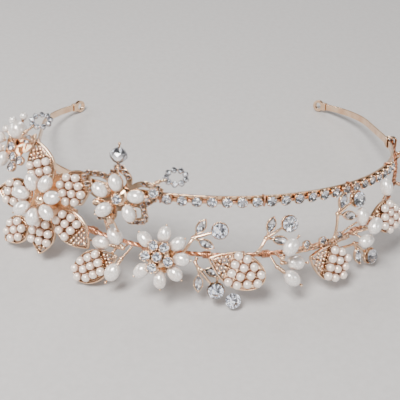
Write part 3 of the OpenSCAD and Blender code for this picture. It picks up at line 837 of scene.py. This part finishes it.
def cast_leaf(name, piece):
    """A cast leaf: its rim, floor, pearl seats and openwork point."""
    m, l, w = flat_frame(name)
    s = Shape()
    inv = np.linalg.inv(m)
    seeds = [inv[:3, :3] @ q.centre + inv[:3, 3] for q in SEEDS]
    seeds = [q for q in seeds if -0.5 < q[0] < l and abs(q[1]) < leaf_half(q[0], l, w) + 0.6
             and 1.5 < q[2] < 4]
    reach = max([q[0] for q in seeds] or [l * 0.5])
    z = np.array([0, 0, 1.0])
    # rim: a tall outer lip, a fine line inside it, and a rolled lower edge
    lip = smooth_closed(leaf_ring(l, w, 0.26, 0.66), 0.45)
    s.add(*tube(lip, 1.0, closed=True, section=rounded_section(LEAF_H, 0.5, 0.2), up=z), m=m)
    inner = smooth_closed(leaf_ring(l, w, 0.85, 0.98), 0.4)
    s.add(*tube(inner, 0.17, 7, closed=True), m=m)
    s.add(*tube(smooth_closed(leaf_ring(l, w, 0.42, 0.2), 0.45), 0.22, 7, closed=True), m=m)
    # floor under the pearls, cut short before the openwork point
    floor_l = reach + SEED_D / 2 + 0.3
    x = np.concatenate([[0.35], np.linspace(0.6, min(floor_l, l - 2), 20)])
    y = np.maximum(leaf_half(x, l, w) - 0.35, 0.02)
    top = np.concatenate([np.stack([x, y], 1), np.stack([x, -y], 1)[::-1]])
    n = len(top)
    v = np.concatenate([np.concatenate([top, np.full((n, 1), h)], 1) for h in (0.35, 0.8)])
    f = [tuple(range(n))[::-1], tuple(range(n, 2 * n))]
    f += [(j, (j + 1) % n, n + (j + 1) % n, n + j) for j in range(n)]
    s.add(v, f, m=m, smooth=False)
    # seats: a collar and four grains round every pearl
    for q in seeds:
        s.add(*tube([[q[0] + 0.82 * math.cos(a), q[1] + 0.82 * math.sin(a), 1.06]
                     for a in np.arange(14) * TAU / 14], 0.2, 6, closed=True), m=m)
        for a in (0.785, 2.356, 3.927, 5.498):
            c = [q[0] + 1.38 * math.cos(a), q[1] + 1.38 * math.sin(a)]
            if abs(c[1]) < leaf_half(c[0], l, w) - 0.3:
                add_ball(s, 0.3, [c[0], c[1], 1.05], m, 8, 6)
    # openwork point: a mid rib, side ribs, and rows of grains
    s.add(*tube([[floor_l - 0.8, 0, 0.55], [l - 2.2, 0, 0.7], [l - 0.8, 0, 0.7]],
                [0.3, 0.3, 0.2], 8), m=m)
    for xr in np.arange(floor_l + 0.2, l - 1.2, 1.9):
        h = float(leaf_half(min(xr + 0.9, l), l, w)) - 0.3
        if h > 0.5:
            for side in (-1, 1):
                s.add(*tube([[xr, 0, 0.42], [xr + 0.5, side * h * 0.55, 0.42],
                             [xr + 0.9, side * h, 0.45]], 0.2, 7), m=m)
    first = reach + SEED_D / 2 + GRAIN / 2 + 0.15
    for xg in np.arange(first, l - 3.1, GRAIN + 0.1):
        k = max(1, int((2 * (float(leaf_half(xg, l, w)) - RIM)) / (GRAIN + 0.15)))
        for j in range(k):
            v, f = ball(GRAIN / 2 * (0.98 - 0.05 * (j % 2)), 12, 9)
            s.add(v * [1, 1, 0.86] + [xg, (j - (k - 1) / 2) * (GRAIN + 0.1), 1.17], f, m=m)
    s.make(piece, bodies[name], [name], "rose_gold", [GOLD])


LEAVES = ["top_leaf", "right_leaf", "lower_right_leaf", "bottom_leaf", "lower_left_leaf",
          "left_leaf"] + ["leaf_bud_%d" % k for k in range(1, 6)]
for leaf in LEAVES:
    cast_leaf(leaf, leaf + "_casting")


def pearls(name, piece, material, rough=0.012):
    s = Shape()
    for k, p in enumerate(parts(name)):
        size = p.sizes()
        v, f = ellipsoid(size[:2].mean(), size[2], k * 7 + len(name), rough)
        s.add(v, f, m=frame_at(p.centre, p.axes[:, 2]))
    s.make(piece, bodies[name], [name], "pearl", [material])


pearls("leaf_flower_seed_pearls", "leaf_flower_seeds", SEED)
pearls("leaf_bud_pearls", "leaf_bud_seeds", SEED)
pearls("leaf_flower_rice_pearls", "rosette_pearls", PEARL, rough=0.02)
pearls("band_flower_ovals", "band_flower_pearls", PEARL, rough=0.02)
pearls("side_flower_pearls", "side_flower_small_pearls", PEARL, rough=0.02)
pearls("side_flower_big_pearl", "side_flower_round_pearl", PEARL, rough=0.006)
pearls("pearl_flower_pearls", "pearl_flower_petals", PEARL, rough=0.02)
pearls("right_pearl_cluster", "right_cluster_pearls", PEARL, rough=0.02)


# ---- flower discs, with the wire ends that show at the pearls ----

def disc_frame(name):
    """Frame at the back of a disc, Z away from the head, and the disc's height."""
    co, tri = node_mesh(name)
    z = outward(main_normal(co, tri, max(1, len(tri) // 300)), co.mean(0))
    p = Part(co, tri)
    line = (co - p.centre) @ z
    return frame_at(p.centre + z * line.min(), z), line.max() - line.min()


def wire_tip(s, p, middle):
    """A pearl's wire: from near the flower's middle, through it, to a small ball at its end."""
    d = p.axes[:, 2]
    if d @ (p.centre - middle) < 0:
        d = -d
    low, high = p.reach(d)
    a, b = p.centre + d * (low - 0.9), p.centre + d * (high + 0.15)
    s.add(*tube([a, p.centre, b], 0.2, 8))
    add_ball(s, 0.34, b, rows=8)
    s.add(*tube([p.centre + d * (low + 0.35) + 0.62 * (math.cos(t) * p.axes[:, 0]
                 + math.sin(t) * p.axes[:, 1]) for t in np.arange(14) * TAU / 14], 0.16, 6,
                closed=True))


def petal_disc(s, m, r, z, petals, thick=0.5):
    """A thin domed disc with a waved, rimmed edge."""
    def wave(a, i, rr, zz):
        rr = rr * (1 + 0.07 * np.cos(petals * a) * min(1, rr.mean() / r))
        return rr, zz + 0.1 * np.cos(petals * a) * (rr.mean() / r) ** 2
    q = [(0.25, z + 0.25), (r * 0.5, z + 0.12), (r * 0.9, z), (r * 0.98, z + thick * 0.4),
         (r * 0.93, z + thick), (r * 0.8, z + thick * 0.8), (r * 0.45, z + thick * 1.1),
         (0.25, z + thick * 1.3)]
    s.add(*revolve(q, 48, wave), m=m)


m, high = disc_frame("leaf_flower_plate")
s = Shape()
petal_disc(s, m, 8.3, 0.2, 6, 0.7)
s.add(*revolve([(2.4, 0.4), (2.5, 1.2), (2.0, 2.2), (1.9, 6.5), (2.3, 7.6), (2.2, 8.6), (1.6, 9.6),
                (0.4, high)], 28), m=m)
for p in parts("leaf_flower_rice_pearls"):
    wire_tip(s, p, m[:3, :3] @ [0, 0, high - 3] + m[:3, 3])
s.make("leaf_flower_back", ROOT, ["leaf_flower_plate"], "rose_gold", [GOLD])

m, high = disc_frame("side_flower_disc")
s = Shape()
petal_disc(s, m, 4.7, high - 0.9, 5)
s.add(*revolve([(1.0, 0), (1.4, 0.3), (1.25, high - 1), (2.2, high - 0.4)], 20), m=m)
mid = m[:3, :3] @ [0, 0, high] + m[:3, 3]
for p in parts("side_flower_pearls"):
    if np.ptp(p.reach(p.axes[:, 2])) > 3.5:
        wire_tip(s, p, mid)
    else:
        s.add(*tube(bow(mid, p.centre, 0.3, [0, 0, 1]), 0.28, 8))
big = parts("side_flower_big_pearl")[0]
s.add(*tube(bow(mid, big.centre, 0.3, [0, 0, 1]), 0.4, 8))
s.make("side_flower_back", ROOT, ["side_flower_disc"], "rose_gold", [GOLD])

m, high = disc_frame("pearl_flower_disc")
s = Shape()
petal_disc(s, m, 5.0, high - 4.4, 7)
s.add(*revolve([(1.1, 0), (1.5, 0.4), (1.5, high - 4.3), (3.0, high - 3.6), (3.3, high - 1.2),
                (3.1, high - 0.3), (2.2, high), (0.4, high)], 28), m=m)
mid = m[:3, :3] @ [0, 0, high - 2.5] + m[:3, 3]
for p in parts("pearl_flower_pearls"):
    wire_tip(s, p, mid)
s.make("pearl_flower_back", ROOT, ["pearl_flower_disc"], "rose_gold", [GOLD])


round_cups("stone_cups", "flower_settings", 4, 8)
round_stones("set_stones", "flower_crystals")


# ---- flower on the hoop ----

def petal_frame_detail():
    """Grains, seats, wires and ribs on the openwork petals that the CAD shows."""
    s = Shape()
    m, _ = disc_frame("band_flower_frame")
    for p in parts("pave_stones"):
        axis = p.spin_axis()
        wide = p.sizes().max()
        if wide > 1.9:
            continue
        base = p.base(axis)
        for k in range(4):
            a = (k + 0.5) * TAU / 4
            r = wide / 2 + 0.06
            add_ball(s, 0.24, [r * math.cos(a), r * math.sin(a), 0.62], base, 8, 6)
        s.add(*revolve([(wide * 0.3, 0.0), (wide * 0.5, 0.1), (wide * 0.56, 0.5), (wide * 0.5, 0.6),
                        (wide * 0.4, 0.4)], 18), m=base)
    for p in parts("band_flower_ovals"):
        long = p.axes[:, 2]
        z = m[:3, 2]
        a, b = np.ptp(p.reach(long)) / 2, np.ptp(p.reach(p.axes[:, 1])) / 2
        q = frame_at(p.centre, z, long)
        t = np.arange(72) * TAU / 72
        for drop, grow, r, lobes in ((-1.15, 0.98, 0.22, 0.12), (-1.75, 0.72, 0.3, 0.0)):
            line = np.stack([(a * grow + lobes * np.cos(12 * t)) * np.cos(t),
                             (b * grow + lobes * np.cos(12 * t)) * np.sin(t),
                             drop + lobes * np.sin(12 * t)], 1)
            s.add(*tube(line, r, 7, closed=True), m=q)
        d = long if long @ (p.centre - m[:3, 3]) > 0 else -long
        add_ball(s, 0.3, p.centre + d * (a + 0.12), rows=8)
    # ribs down the petals' openings
    centre = m[:3, 3]
    for p in parts("band_flower_ovals"):
        d = p.centre - centre
        d -= m[:3, 2] * (d @ m[:3, 2])
        d /= np.linalg.norm(d)
        lift = m[:3, 2] * 0.5
        s.add(*tube(bow(centre + lift + d * 2.5, centre + lift + d * 8.5, 0.2, m[:3, 2]), 0.3, 8))
    s.add(*revolve([(2.6, 0.9), (3.1, 1.1), (2.9, 1.6), (1.9, 2.0), (0.4, 2.3)], 30,
                   lambda a, i, rr, zz: (rr * (1 + 0.06 * np.cos(8 * a)), zz)), m=m)
    return s


s = petal_frame_detail()
s.make("band_flower_settings", ROOT, [], "rose_gold", [GOLD])


def keep(name, material, width=0.1):
    """A CAD node that is shown: its edges are eased and it takes the new metal."""
    o = frame["nodes"][name]
    for slot in o.material_slots:
        slot.material = material
    if not o.material_slots:
        o.data.materials.append(material)
    weld = o.modifiers.new("weld", "WELD")
    weld.merge_threshold = 0.000002
    ease = o.modifiers.new("ease", "BEVEL")
    ease.width = width * MM
    ease.segments = 2
    ease.limit_method = "ANGLE"
    ease.angle_limit = math.radians(38)
    ease.harden_normals = False


for name in ("band_flower_frame", "side_flower_leaf", "left_end_ring", "right_end_ring"):
    keep(name, GOLD, 0.16 if "ring" in name else 0.12)

round_stones("pave_stones", "pave_crystals")


# ---- the drop bead, and its wire ----

def facet_bead(d, l, n=8):
    """A bicone crystal cut in triangles."""
    rows = [(0.17, -0.5), (0.62, -0.36), (0.98, -0.12), (0.98, 0.12), (0.62, 0.36), (0.17, 0.5)]
    v = []
    for i, (r, z) in enumerate(rows):
        a = (np.arange(n) + (i % 2) * 0.5) * TAU / n
        v.append(np.stack([r * d / 2 * np.cos(a), r * d / 2 * np.sin(a), np.full(n, z * l)], 1))
    f = []
    for i in range(len(rows) - 1):
        for j in range(n):
            k = (j + 1) % n
            a, b, c, e = i * n + j, i * n + k, (i + 1) * n + k, (i + 1) * n + j
            f += [(a, b, e), (b, c, e)] if i % 2 == 0 else [(a, b, c), (a, c, e)]
    last = (len(rows) - 1) * n
    f += [tuple(range(n))[::-1], tuple(last + j for j in range(n))]
    return np.concatenate(v), f


joint = {j["name"]: j for j in frame["joints"]}


def joint_axis(name):
    axis = np.array(joint[name]["axis"], float)
    return axis / np.linalg.norm(axis)


p = parts("drop_bead")[0]
bead_axis = joint_axis("bead_turn")
s = Shape()
v, f = facet_bead(p.sizes().max(), np.ptp(p.reach(bead_axis)))
m = frame_at(p.centre, bead_axis)
s.add(v, f, m=m, smooth=False)
s.add(v * 0.84, f, m=m, mat=1, smooth=False)
s.make("drop_crystal", bodies["drop_bead"], ["drop_bead"], "crystal", STONE)


def pin(s, start, end, collar, ball_r=0.5, wire=0.24):
    """A wound collar, the wire through the bead, and a ball at its tip."""
    d = (end - start) / np.linalg.norm(end - start)
    coil(s, start - d * 0.1, start + d * max(collar - 0.2, 0.25), 0.42, 0.2,
         max(1.5, collar / 0.42), wobble=0)
    s.add(*tube([start, (start + end) / 2, end], wire, 8))
    add_ball(s, ball_r, end, n=14, rows=10)


wire = parts("drop_bead_wire")[0]
near, far = sorted([wire.centre + bead_axis * e for e in wire.reach(bead_axis)],
                   key=lambda e: np.linalg.norm(e - p.centre))
s = Shape()
pin(s, near, far - (far - near) / np.linalg.norm(far - near) * 0.5, 0.4)
m, _ = disc_frame("band_flower_frame")
s.add(*tube(bow(m[:3, 3] + m[:3, 2] * 0.9, near, 0.3, m[:3, 2]), 0.32, 8))
s.make("drop_crystal_wire", ROOT, ["drop_bead_wire"], "rose_gold", [GOLD])


# ---- bead loops ----

beads = parts("bead_loop_beads")
loops = []
for b in beads:
    for g in loops:
        if np.linalg.norm(g[0].centre - b.centre) < 9:
            g.append(b)
            break
    else:
        loops.append([b])
s, w = Shape(), Shape()
for k, g in enumerate(loops):
    c = np.array([b.centre for b in g])
    mid = c.mean(0)
    axis = outward(np.linalg.svd(c - mid)[2][2], mid)
    m = frame_at(mid, axis)
    flat = (c - mid) @ m[:3, :3]
    r = np.linalg.norm(flat[:, :2], axis=1).mean()
    for i, b in enumerate(g):
        ang = math.atan2(flat[i, 1], flat[i, 0])
        along = m[:3, :3] @ [-math.sin(ang), math.cos(ang), 0]
        size = b.sizes().max()
        v, f = facet_bead(size, size * 0.95, 7)
        s.add(v, f, m=frame_at(b.centre, along), smooth=False)
        s.add(v * 0.8, f, m=frame_at(b.centre, along), mat=1, smooth=False)
    t = np.arange(40) * TAU / 40
    w.add(*tube(np.stack([r * np.cos(t), r * np.sin(t), 0 * t], 1), 0.2, 7, closed=True), m=m)
    near = min(parts("bead_loop_wires"), key=lambda q: np.linalg.norm(q.centre - mid))
    d = np.linalg.norm(near.co - mid, axis=1)
    foot = near.co[d > d.max() - 0.35].mean(0)
    out = (foot - mid) / np.linalg.norm(foot - mid)
    # the stem bends down from its foot to the nearest cup rim of a flower
    seats = np.concatenate([q.co for q in parts("stone_cups")])
    seat = seats[np.argmin(np.linalg.norm(seats - foot, axis=1))]
    rope(w, resample(np.array([mid + out * (r - 0.1), foot - out * 2.2, foot - out * 0.9 - axis * 0.3,
                               foot + (seat - foot) * 0.25, seat - axis * 0.4]), 0.5), 0.42, 2, 1.6)
    coil(w, foot - out * 3.4, foot - out * 2.0, 0.5, 0.18, 3.5)
s.make("loop_beads", ROOT, ["bead_loop_beads"], "crystal", STONE)
w.make("loop_wires", ROOT, ["bead_loop_wires"], "rose_gold", [GOLD])


# ---- crystal sprigs ----

rounds, navettes = parts("round_crystals"), parts("navette_crystals")


def navette_frame(p):
    z = outward(p.axes[:, 0], p.centre)
    m = frame_at(p.centre, z, p.axes[:, 2])
    m[:3, 3] = p.centre + z * p.reach(z)[0]
    return m


def taper(s, a, b, r0, r1, sag, side, n=12):
    s.add(*tube(bow(a, b, sag, side, n), np.linspace(r0, r1, n), 10))


def sprig(name):
    """A twisted stem, a branching head, a bezel for the crystal and rims for the navettes."""
    s = Shape()
    co, tri = node_mesh(name)
    elbow, head = ball_centre(co, tri, 0.75), ball_centre(co, tri, 0.8)
    foot = foot_on_vine(co, 3)
    crystal = min(rounds, key=lambda q: np.linalg.norm(q.centre - head))
    axis = crystal.spin_axis()
    base = crystal.base(axis)
    base[:3, 3] -= axis * 0.3
    wide = crystal.sizes().max()
    rope(s, bow(foot, elbow, 0.25, axis), 0.42, 2, 1.7)
    coil(s, foot, foot + (elbow - foot) * 0.25, 0.46, 0.16, 3, wobble=0)
    add_ball(s, 0.62, elbow, n=14, rows=10)
    taper(s, elbow, head, 0.52, 0.46, 0.35, axis)
    add_ball(s, 0.8, head, n=14, rows=10)
    out = base[:3, 3] - head
    out = out - axis * (out @ axis)
    reach = np.linalg.norm(out)
    out /= reach
    taper(s, head, head + out * (reach - wide / 2 + 0.3) + axis * 0.1, 0.5, 0.42, 0.15, axis)
    cup(s, base, wide, 1.5, 6, 12)
    # fine grains round the bezel's foot
    for k in range(16):
        a = k * TAU / 16
        r = wide / 2 + 0.22
        add_ball(s, 0.2, [r * math.cos(a), r * math.sin(a), 0.35], base, 7, 5)
    for p in navettes:
        if np.linalg.norm(p.centre - head) > 5.2:
            continue
        m = navette_frame(p)
        l, w = np.ptp(p.reach(m[:3, 0])), np.ptp(p.reach(m[:3, 1]))
        n0 = navette_ring(l + 0.25, w + 0.25, 0.35, 40)
        up = np.array([0, 0, 1.0])
        s.add(*tube(smooth_closed(n0, 0.3), 1.0, closed=True,
                    section=rounded_section(1.0, 0.36, 0.14), up=up), m=m)
        s.add(*tube(smooth_closed(navette_ring(l - 0.2, w - 0.2, -0.25, 40), 0.35), 0.22, 7,
                    closed=True), m=m)
        for e in (-1, 1):
            tip = np.array([e * (l / 2 + 0.2), 0, 0.3])
            s.add(*tube([tip, tip + [e * 0.05, 0, 0.6], tip + [-e * 0.35, 0, 1.0]],
                        [0.26, 0.24, 0.16], 8), m=m)
            for side in (-1, 1):
                q = np.array([e * l * 0.16, side * (w / 2 + 0.12), 0.7])
                add_ball(s, 0.2, q, m, 8, 6)
        inner = m[:3, 3] + m[:3, 0] * (l / 2) * (1 if (head - p.centre) @ m[:3, 0] > 0 else -1)
        taper(s, head, inner, 0.46, 0.36, 0.1, axis)
    s.make(name + "_casting", bodies[name], [name], "rose_gold", [GOLD])


for name in ("sprig_one", "sprig_two", "sprig_three", "drop_sprig", "low_sprig", "lone_crystal",
             "right_end_sprig"):
    sprig(name)

round_stones("round_crystals", "sprig_round_crystals")
s = Shape()
for p in navettes:
    m = navette_frame(p)
    l, w = np.ptp(p.reach(m[:3, 0])), np.ptp(p.reach(m[:3, 1]))
    v, f, mat = navette_gem(l, w, np.ptp(p.reach(m[:3, 2])))
    s.add(v, f, m=m, mat=mat, smooth=False)
o = s.make("sprig_navettes", ROOT, ["navette_crystals"], "crystal", STONE)
fix_normals(o.data)


# ---- cast branch along the vine ----

def branch():
    s = Shape()
    small = [p for p in parts("pave_stones") if p.sizes().max() > 1.9]
    co, _ = node_mesh("branch_casting")
    local = (co - VINE[:3, 3]) @ VINE[:3, :3]
    ang = np.degrees(np.arctan2(local[:, 0], -local[:, 1]))
    a0, a1 = ang.min(), ang.max()
    r = VINE_R + 0.8 + 0.5
    for z, thin in ((-0.35, 0.26), (0.95, 0.26)):
        m = VINE.copy()
        m[:3, 3] = VINE[:3, 3] + VINE[:3, 2] * z
        line = arc_in(m, r, a0 + 0.4, a1 - 0.4, 60)
        k = np.arange(len(line))
        line = line + VINE[:3, 2] * (0.1 * np.sin(k * 0.9))[:, None]
        s.add(*tube(line, thin, 8))
    # scrolls between the two rails
    n = 15
    for i in range(n):
        a = math.radians(a0 + 1.1 + (a1 - a0 - 2.2) * i / (n - 1))
        c = np.array([r * math.sin(a), -r * math.cos(a), 0.3])
        out = np.array([math.sin(a), -math.cos(a), 0])
        q = frame_at(c, out, np.array([math.cos(a), math.sin(a), 0]))
        t = np.linspace(0.0, 2.4 * math.pi, 30)
        rr = 0.62 - 0.17 * t / t[-1] * 2
        line = np.stack([rr * np.cos(t), (rr * np.sin(t)) * (1 if i % 2 else -1), 0.12 + 0 * t], 1)
        s.add(*tube(line, 0.16, 7), m=VINE @ q)
    for p in small:
        axis = p.spin_axis()
        base = p.base(axis)
        base[:3, 3] -= axis * 0.3
        wide = p.sizes().max()
        cup(s, base, wide, 1.5, 4, 8)
        foot = VINE[:3, :3].T @ (base[:3, 3] - VINE[:3, 3])
        a = math.atan2(foot[0], -foot[1])
        low = VINE[:3, :3] @ [r * math.sin(a), -r * math.cos(a), 0.9] + VINE[:3, 3]
        s.add(*tube([low, (low + base[:3, 3]) / 2, base[:3, 3] + axis * 0.15], 0.32, 8))
    s.make("branch_filigree", ROOT, ["branch_casting"], "rose_gold", [GOLD])


branch()


# ---- pearls that turn on their wires ----

s = Shape()
wires = parts("pearl_wires")
for k in range(1, 7):
    name = "wired_pearl_%d" % k
    p = parts(name)[0]
    axis = joint_axis("pearl_%d_turn" % k)
    wire = min(wires, key=lambda q: np.linalg.norm(q.co - p.centre, axis=1).min())
    far = wire.co[np.argmax(np.linalg.norm(wire.co - p.centre, axis=1))]
    if (far - p.centre) @ axis > 0 and np.linalg.norm(far - p.centre) > 4.5:
        axis = -axis
    size = p.sizes()
    half = size[2] / 2
    v, f = ellipsoid(size[:2].mean(), size[2], 90 + k, 0.02, 26, 18)
    one = Shape()
    one.add(v, f, m=frame_at(p.centre, axis))
    one.make("turning_pearl_%d" % k, bodies[name], [name], "pearl", [PEARL])
    # the wire's elbow behind the pearl: its ball, or else where the collar ends
    d = wire.co - p.centre
    back = d @ axis
    across = np.linalg.norm(d - np.outer(back, axis), axis=1)
    collar_low = back[(across < 1.0) & (back < -half)].min()
    elbow = p.centre + axis * max(collar_low, -half - 4)
    ball_at = ball_centre(wire.co, np.searchsorted(np.unique(wire.tri), wire.tri), 0.95)
    if np.linalg.norm(ball_at - p.centre) < 9:
        elbow = ball_at
    tip = p.centre + axis * (half + 0.95)
    pin(s, elbow, tip, np.linalg.norm(elbow - p.centre) - half - 0.1, 0.46, 0.26)
    add_ball(s, 0.72, elbow, n=14, rows=10)
    foot = foot_on_vine(wire.co, 2)
    rope(s, bow(foot, elbow, 0.2, np.array([0, -1.0, 0])), 0.4, 2, 1.6)
s.make("turning_pearl_wires", ROOT, ["pearl_wires"], "rose_gold", [GOLD])


# ---- stalk wires, from each casting or pearl to what carries it ----

def closest_pair(points, carriers):
    """The nearest two points between a piece and the nodes that carry it."""
    far = np.concatenate([node_mesh(c)[0] for c in carriers])
    tree = kdtree.KDTree(len(far))
    for i, p in enumerate(far):
        tree.insert(p, i)
    tree.balance()
    hits = [tree.find(p) for p in points]
    k = min(range(len(hits)), key=lambda i: hits[i][2])
    return points[k], np.array(hits[k][0])


def stalk(s, points, carriers, wire):
    """A twisted wire over the gap, with a coil where it meets its carrier."""
    a, b = closest_pair(points, carriers)
    gap = np.linalg.norm(b - a)
    if gap < 0.1:
        return
    out = (b - a) / gap
    middle = points.mean(0)
    inner = a + (middle - a) / np.linalg.norm(middle - a) * 0.5
    side = np.cross(out, [0.3, 0.2, 1.0])
    rope(s, bow(inner, b + out * 0.2, min(0.5, 0.12 * gap), side), wire, 2, 1.5)
    coil(s, b - out * 0.7, b + out * 0.1, wire * 0.75, wire * 0.36, 2.5)


s = Shape()
for name, carriers in [("side_flower_disc", ["band"]), ("leaf_flower_plate", ["band"]),
                       ("pearl_flower_disc", ["vine_wire"]), ("low_sprig", ["vine_wire"]),
                       ("right_end_sprig", ["vine_wire"]), ("leaf_bud_3", ["branch_casting"])]:
    stalk(s, node_mesh(name)[0], carriers, 0.6)
for k in (1, 2, 4, 5):
    stalk(s, node_mesh("leaf_bud_%d" % k)[0], ["vine_wire"], 0.5)
plate_middle = disc_frame("leaf_flower_plate")[0][:3, 3]
for name in LEAVES[:6]:
    points = node_mesh(name)[0]
    stalk(s, points, ["leaf_flower_plate"], 0.6)
    edge = closest_pair(points, ["leaf_flower_plate"])[1]
    rope(s, bow(edge, edge + (plate_middle - edge) * 0.6, 0.0, [0, 0, 1.0]), 0.6, 2, 1.5)
for p in parts("right_pearl_cluster"):
    stalk(s, p.co, ["vine_wire", "branch_casting"], 0.4)
for p in parts("side_flower_pearls"):
    stalk(s, p.co, ["side_flower_disc"], 0.4)
s.make("stalk_wires", ROOT, [], "rose_gold", [GOLD])


# ---- studio ----


def area_light(name, at, to, size, power, colour=(1, 1, 1)):
    data = bpy.data.lights.new(name, "AREA")
    data.shape = "RECTANGLE"
    data.size, data.size_y = size
    data.energy = power
    data.color = colour
    at = np.array(at, float)
    new_object(name, data).matrix_world = Matrix(frame_at(at, at - np.array(to, float)).tolist())


FLOOR_HALF, FLOOR_FLAT_R, FLOOR_N = 900, 420, 40


def make_floor():
    """A pale sheet just under the tiara: flat near it, and rising all round farther out."""
    floor_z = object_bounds()[0][2] - 0.0001
    x = np.linspace(-FLOOR_HALF, FLOOR_HALF, FLOOR_N)
    xx, yy = np.meshgrid(x, x)
    rise = np.maximum(np.hypot(xx, yy) - FLOOR_FLAT_R, 0) ** 2 / 700
    v = np.stack([xx.ravel(), yy.ravel(), (rise + floor_z / MM).ravel()], 1)
    f = grid_faces(FLOOR_N, FLOOR_N, False)
    me = bpy.data.meshes.new("floor")
    me.from_pydata((v * MM).tolist(), [], f)
    me.polygons.foreach_set("use_smooth", [True] * len(f))
    floor = new_object("floor", me)
    m, t, b = new_material("paper")
    fine = noise(t, 420, 6.0)
    colour = ramp(t, fine.outputs["Fac"], [(0.3, (0.46, 0.445, 0.44)), (0.7, (0.50, 0.485, 0.48))])
    t.links.new(colour, b.inputs["Base Color"])
    b.inputs["Roughness"].default_value = 0.75
    bump(t, b, fine.outputs["Fac"], 0.15, 0.0001)
    me.materials.append(m)


make_floor()
area_light("key", (-0.26, -0.36, 0.66), (0, 0, 0), (0.30, 0.26), 12.0, (1.0, 0.98, 0.95))
area_light("front", (0.05, -0.75, 0.50), (0, 0, 0.02), (0.5, 0.10), 1.0, (1.0, 0.99, 0.98))
area_light("fill", (0.55, -0.40, 0.35), (0, 0, 0.02), (0.24, 0.24), 1.0, (0.95, 0.97, 1.0))
area_light("back", (0.15, 0.45, 0.5), (0, 0, 0.02), (0.5, 0.12), 1.6)
area_light("strip", (-0.45, 0.1, 0.25), (-0.02, -0.02, 0.02), (0.06, 0.4), 1.0)

world = bpy.data.worlds.new("studio")
world.use_nodes = True
bg = world.node_tree.nodes["Background"]
bg.inputs["Color"].default_value = (0.95, 0.95, 0.97, 1)
bg.inputs["Strength"].default_value = 0.07
bpy.context.scene.world = world
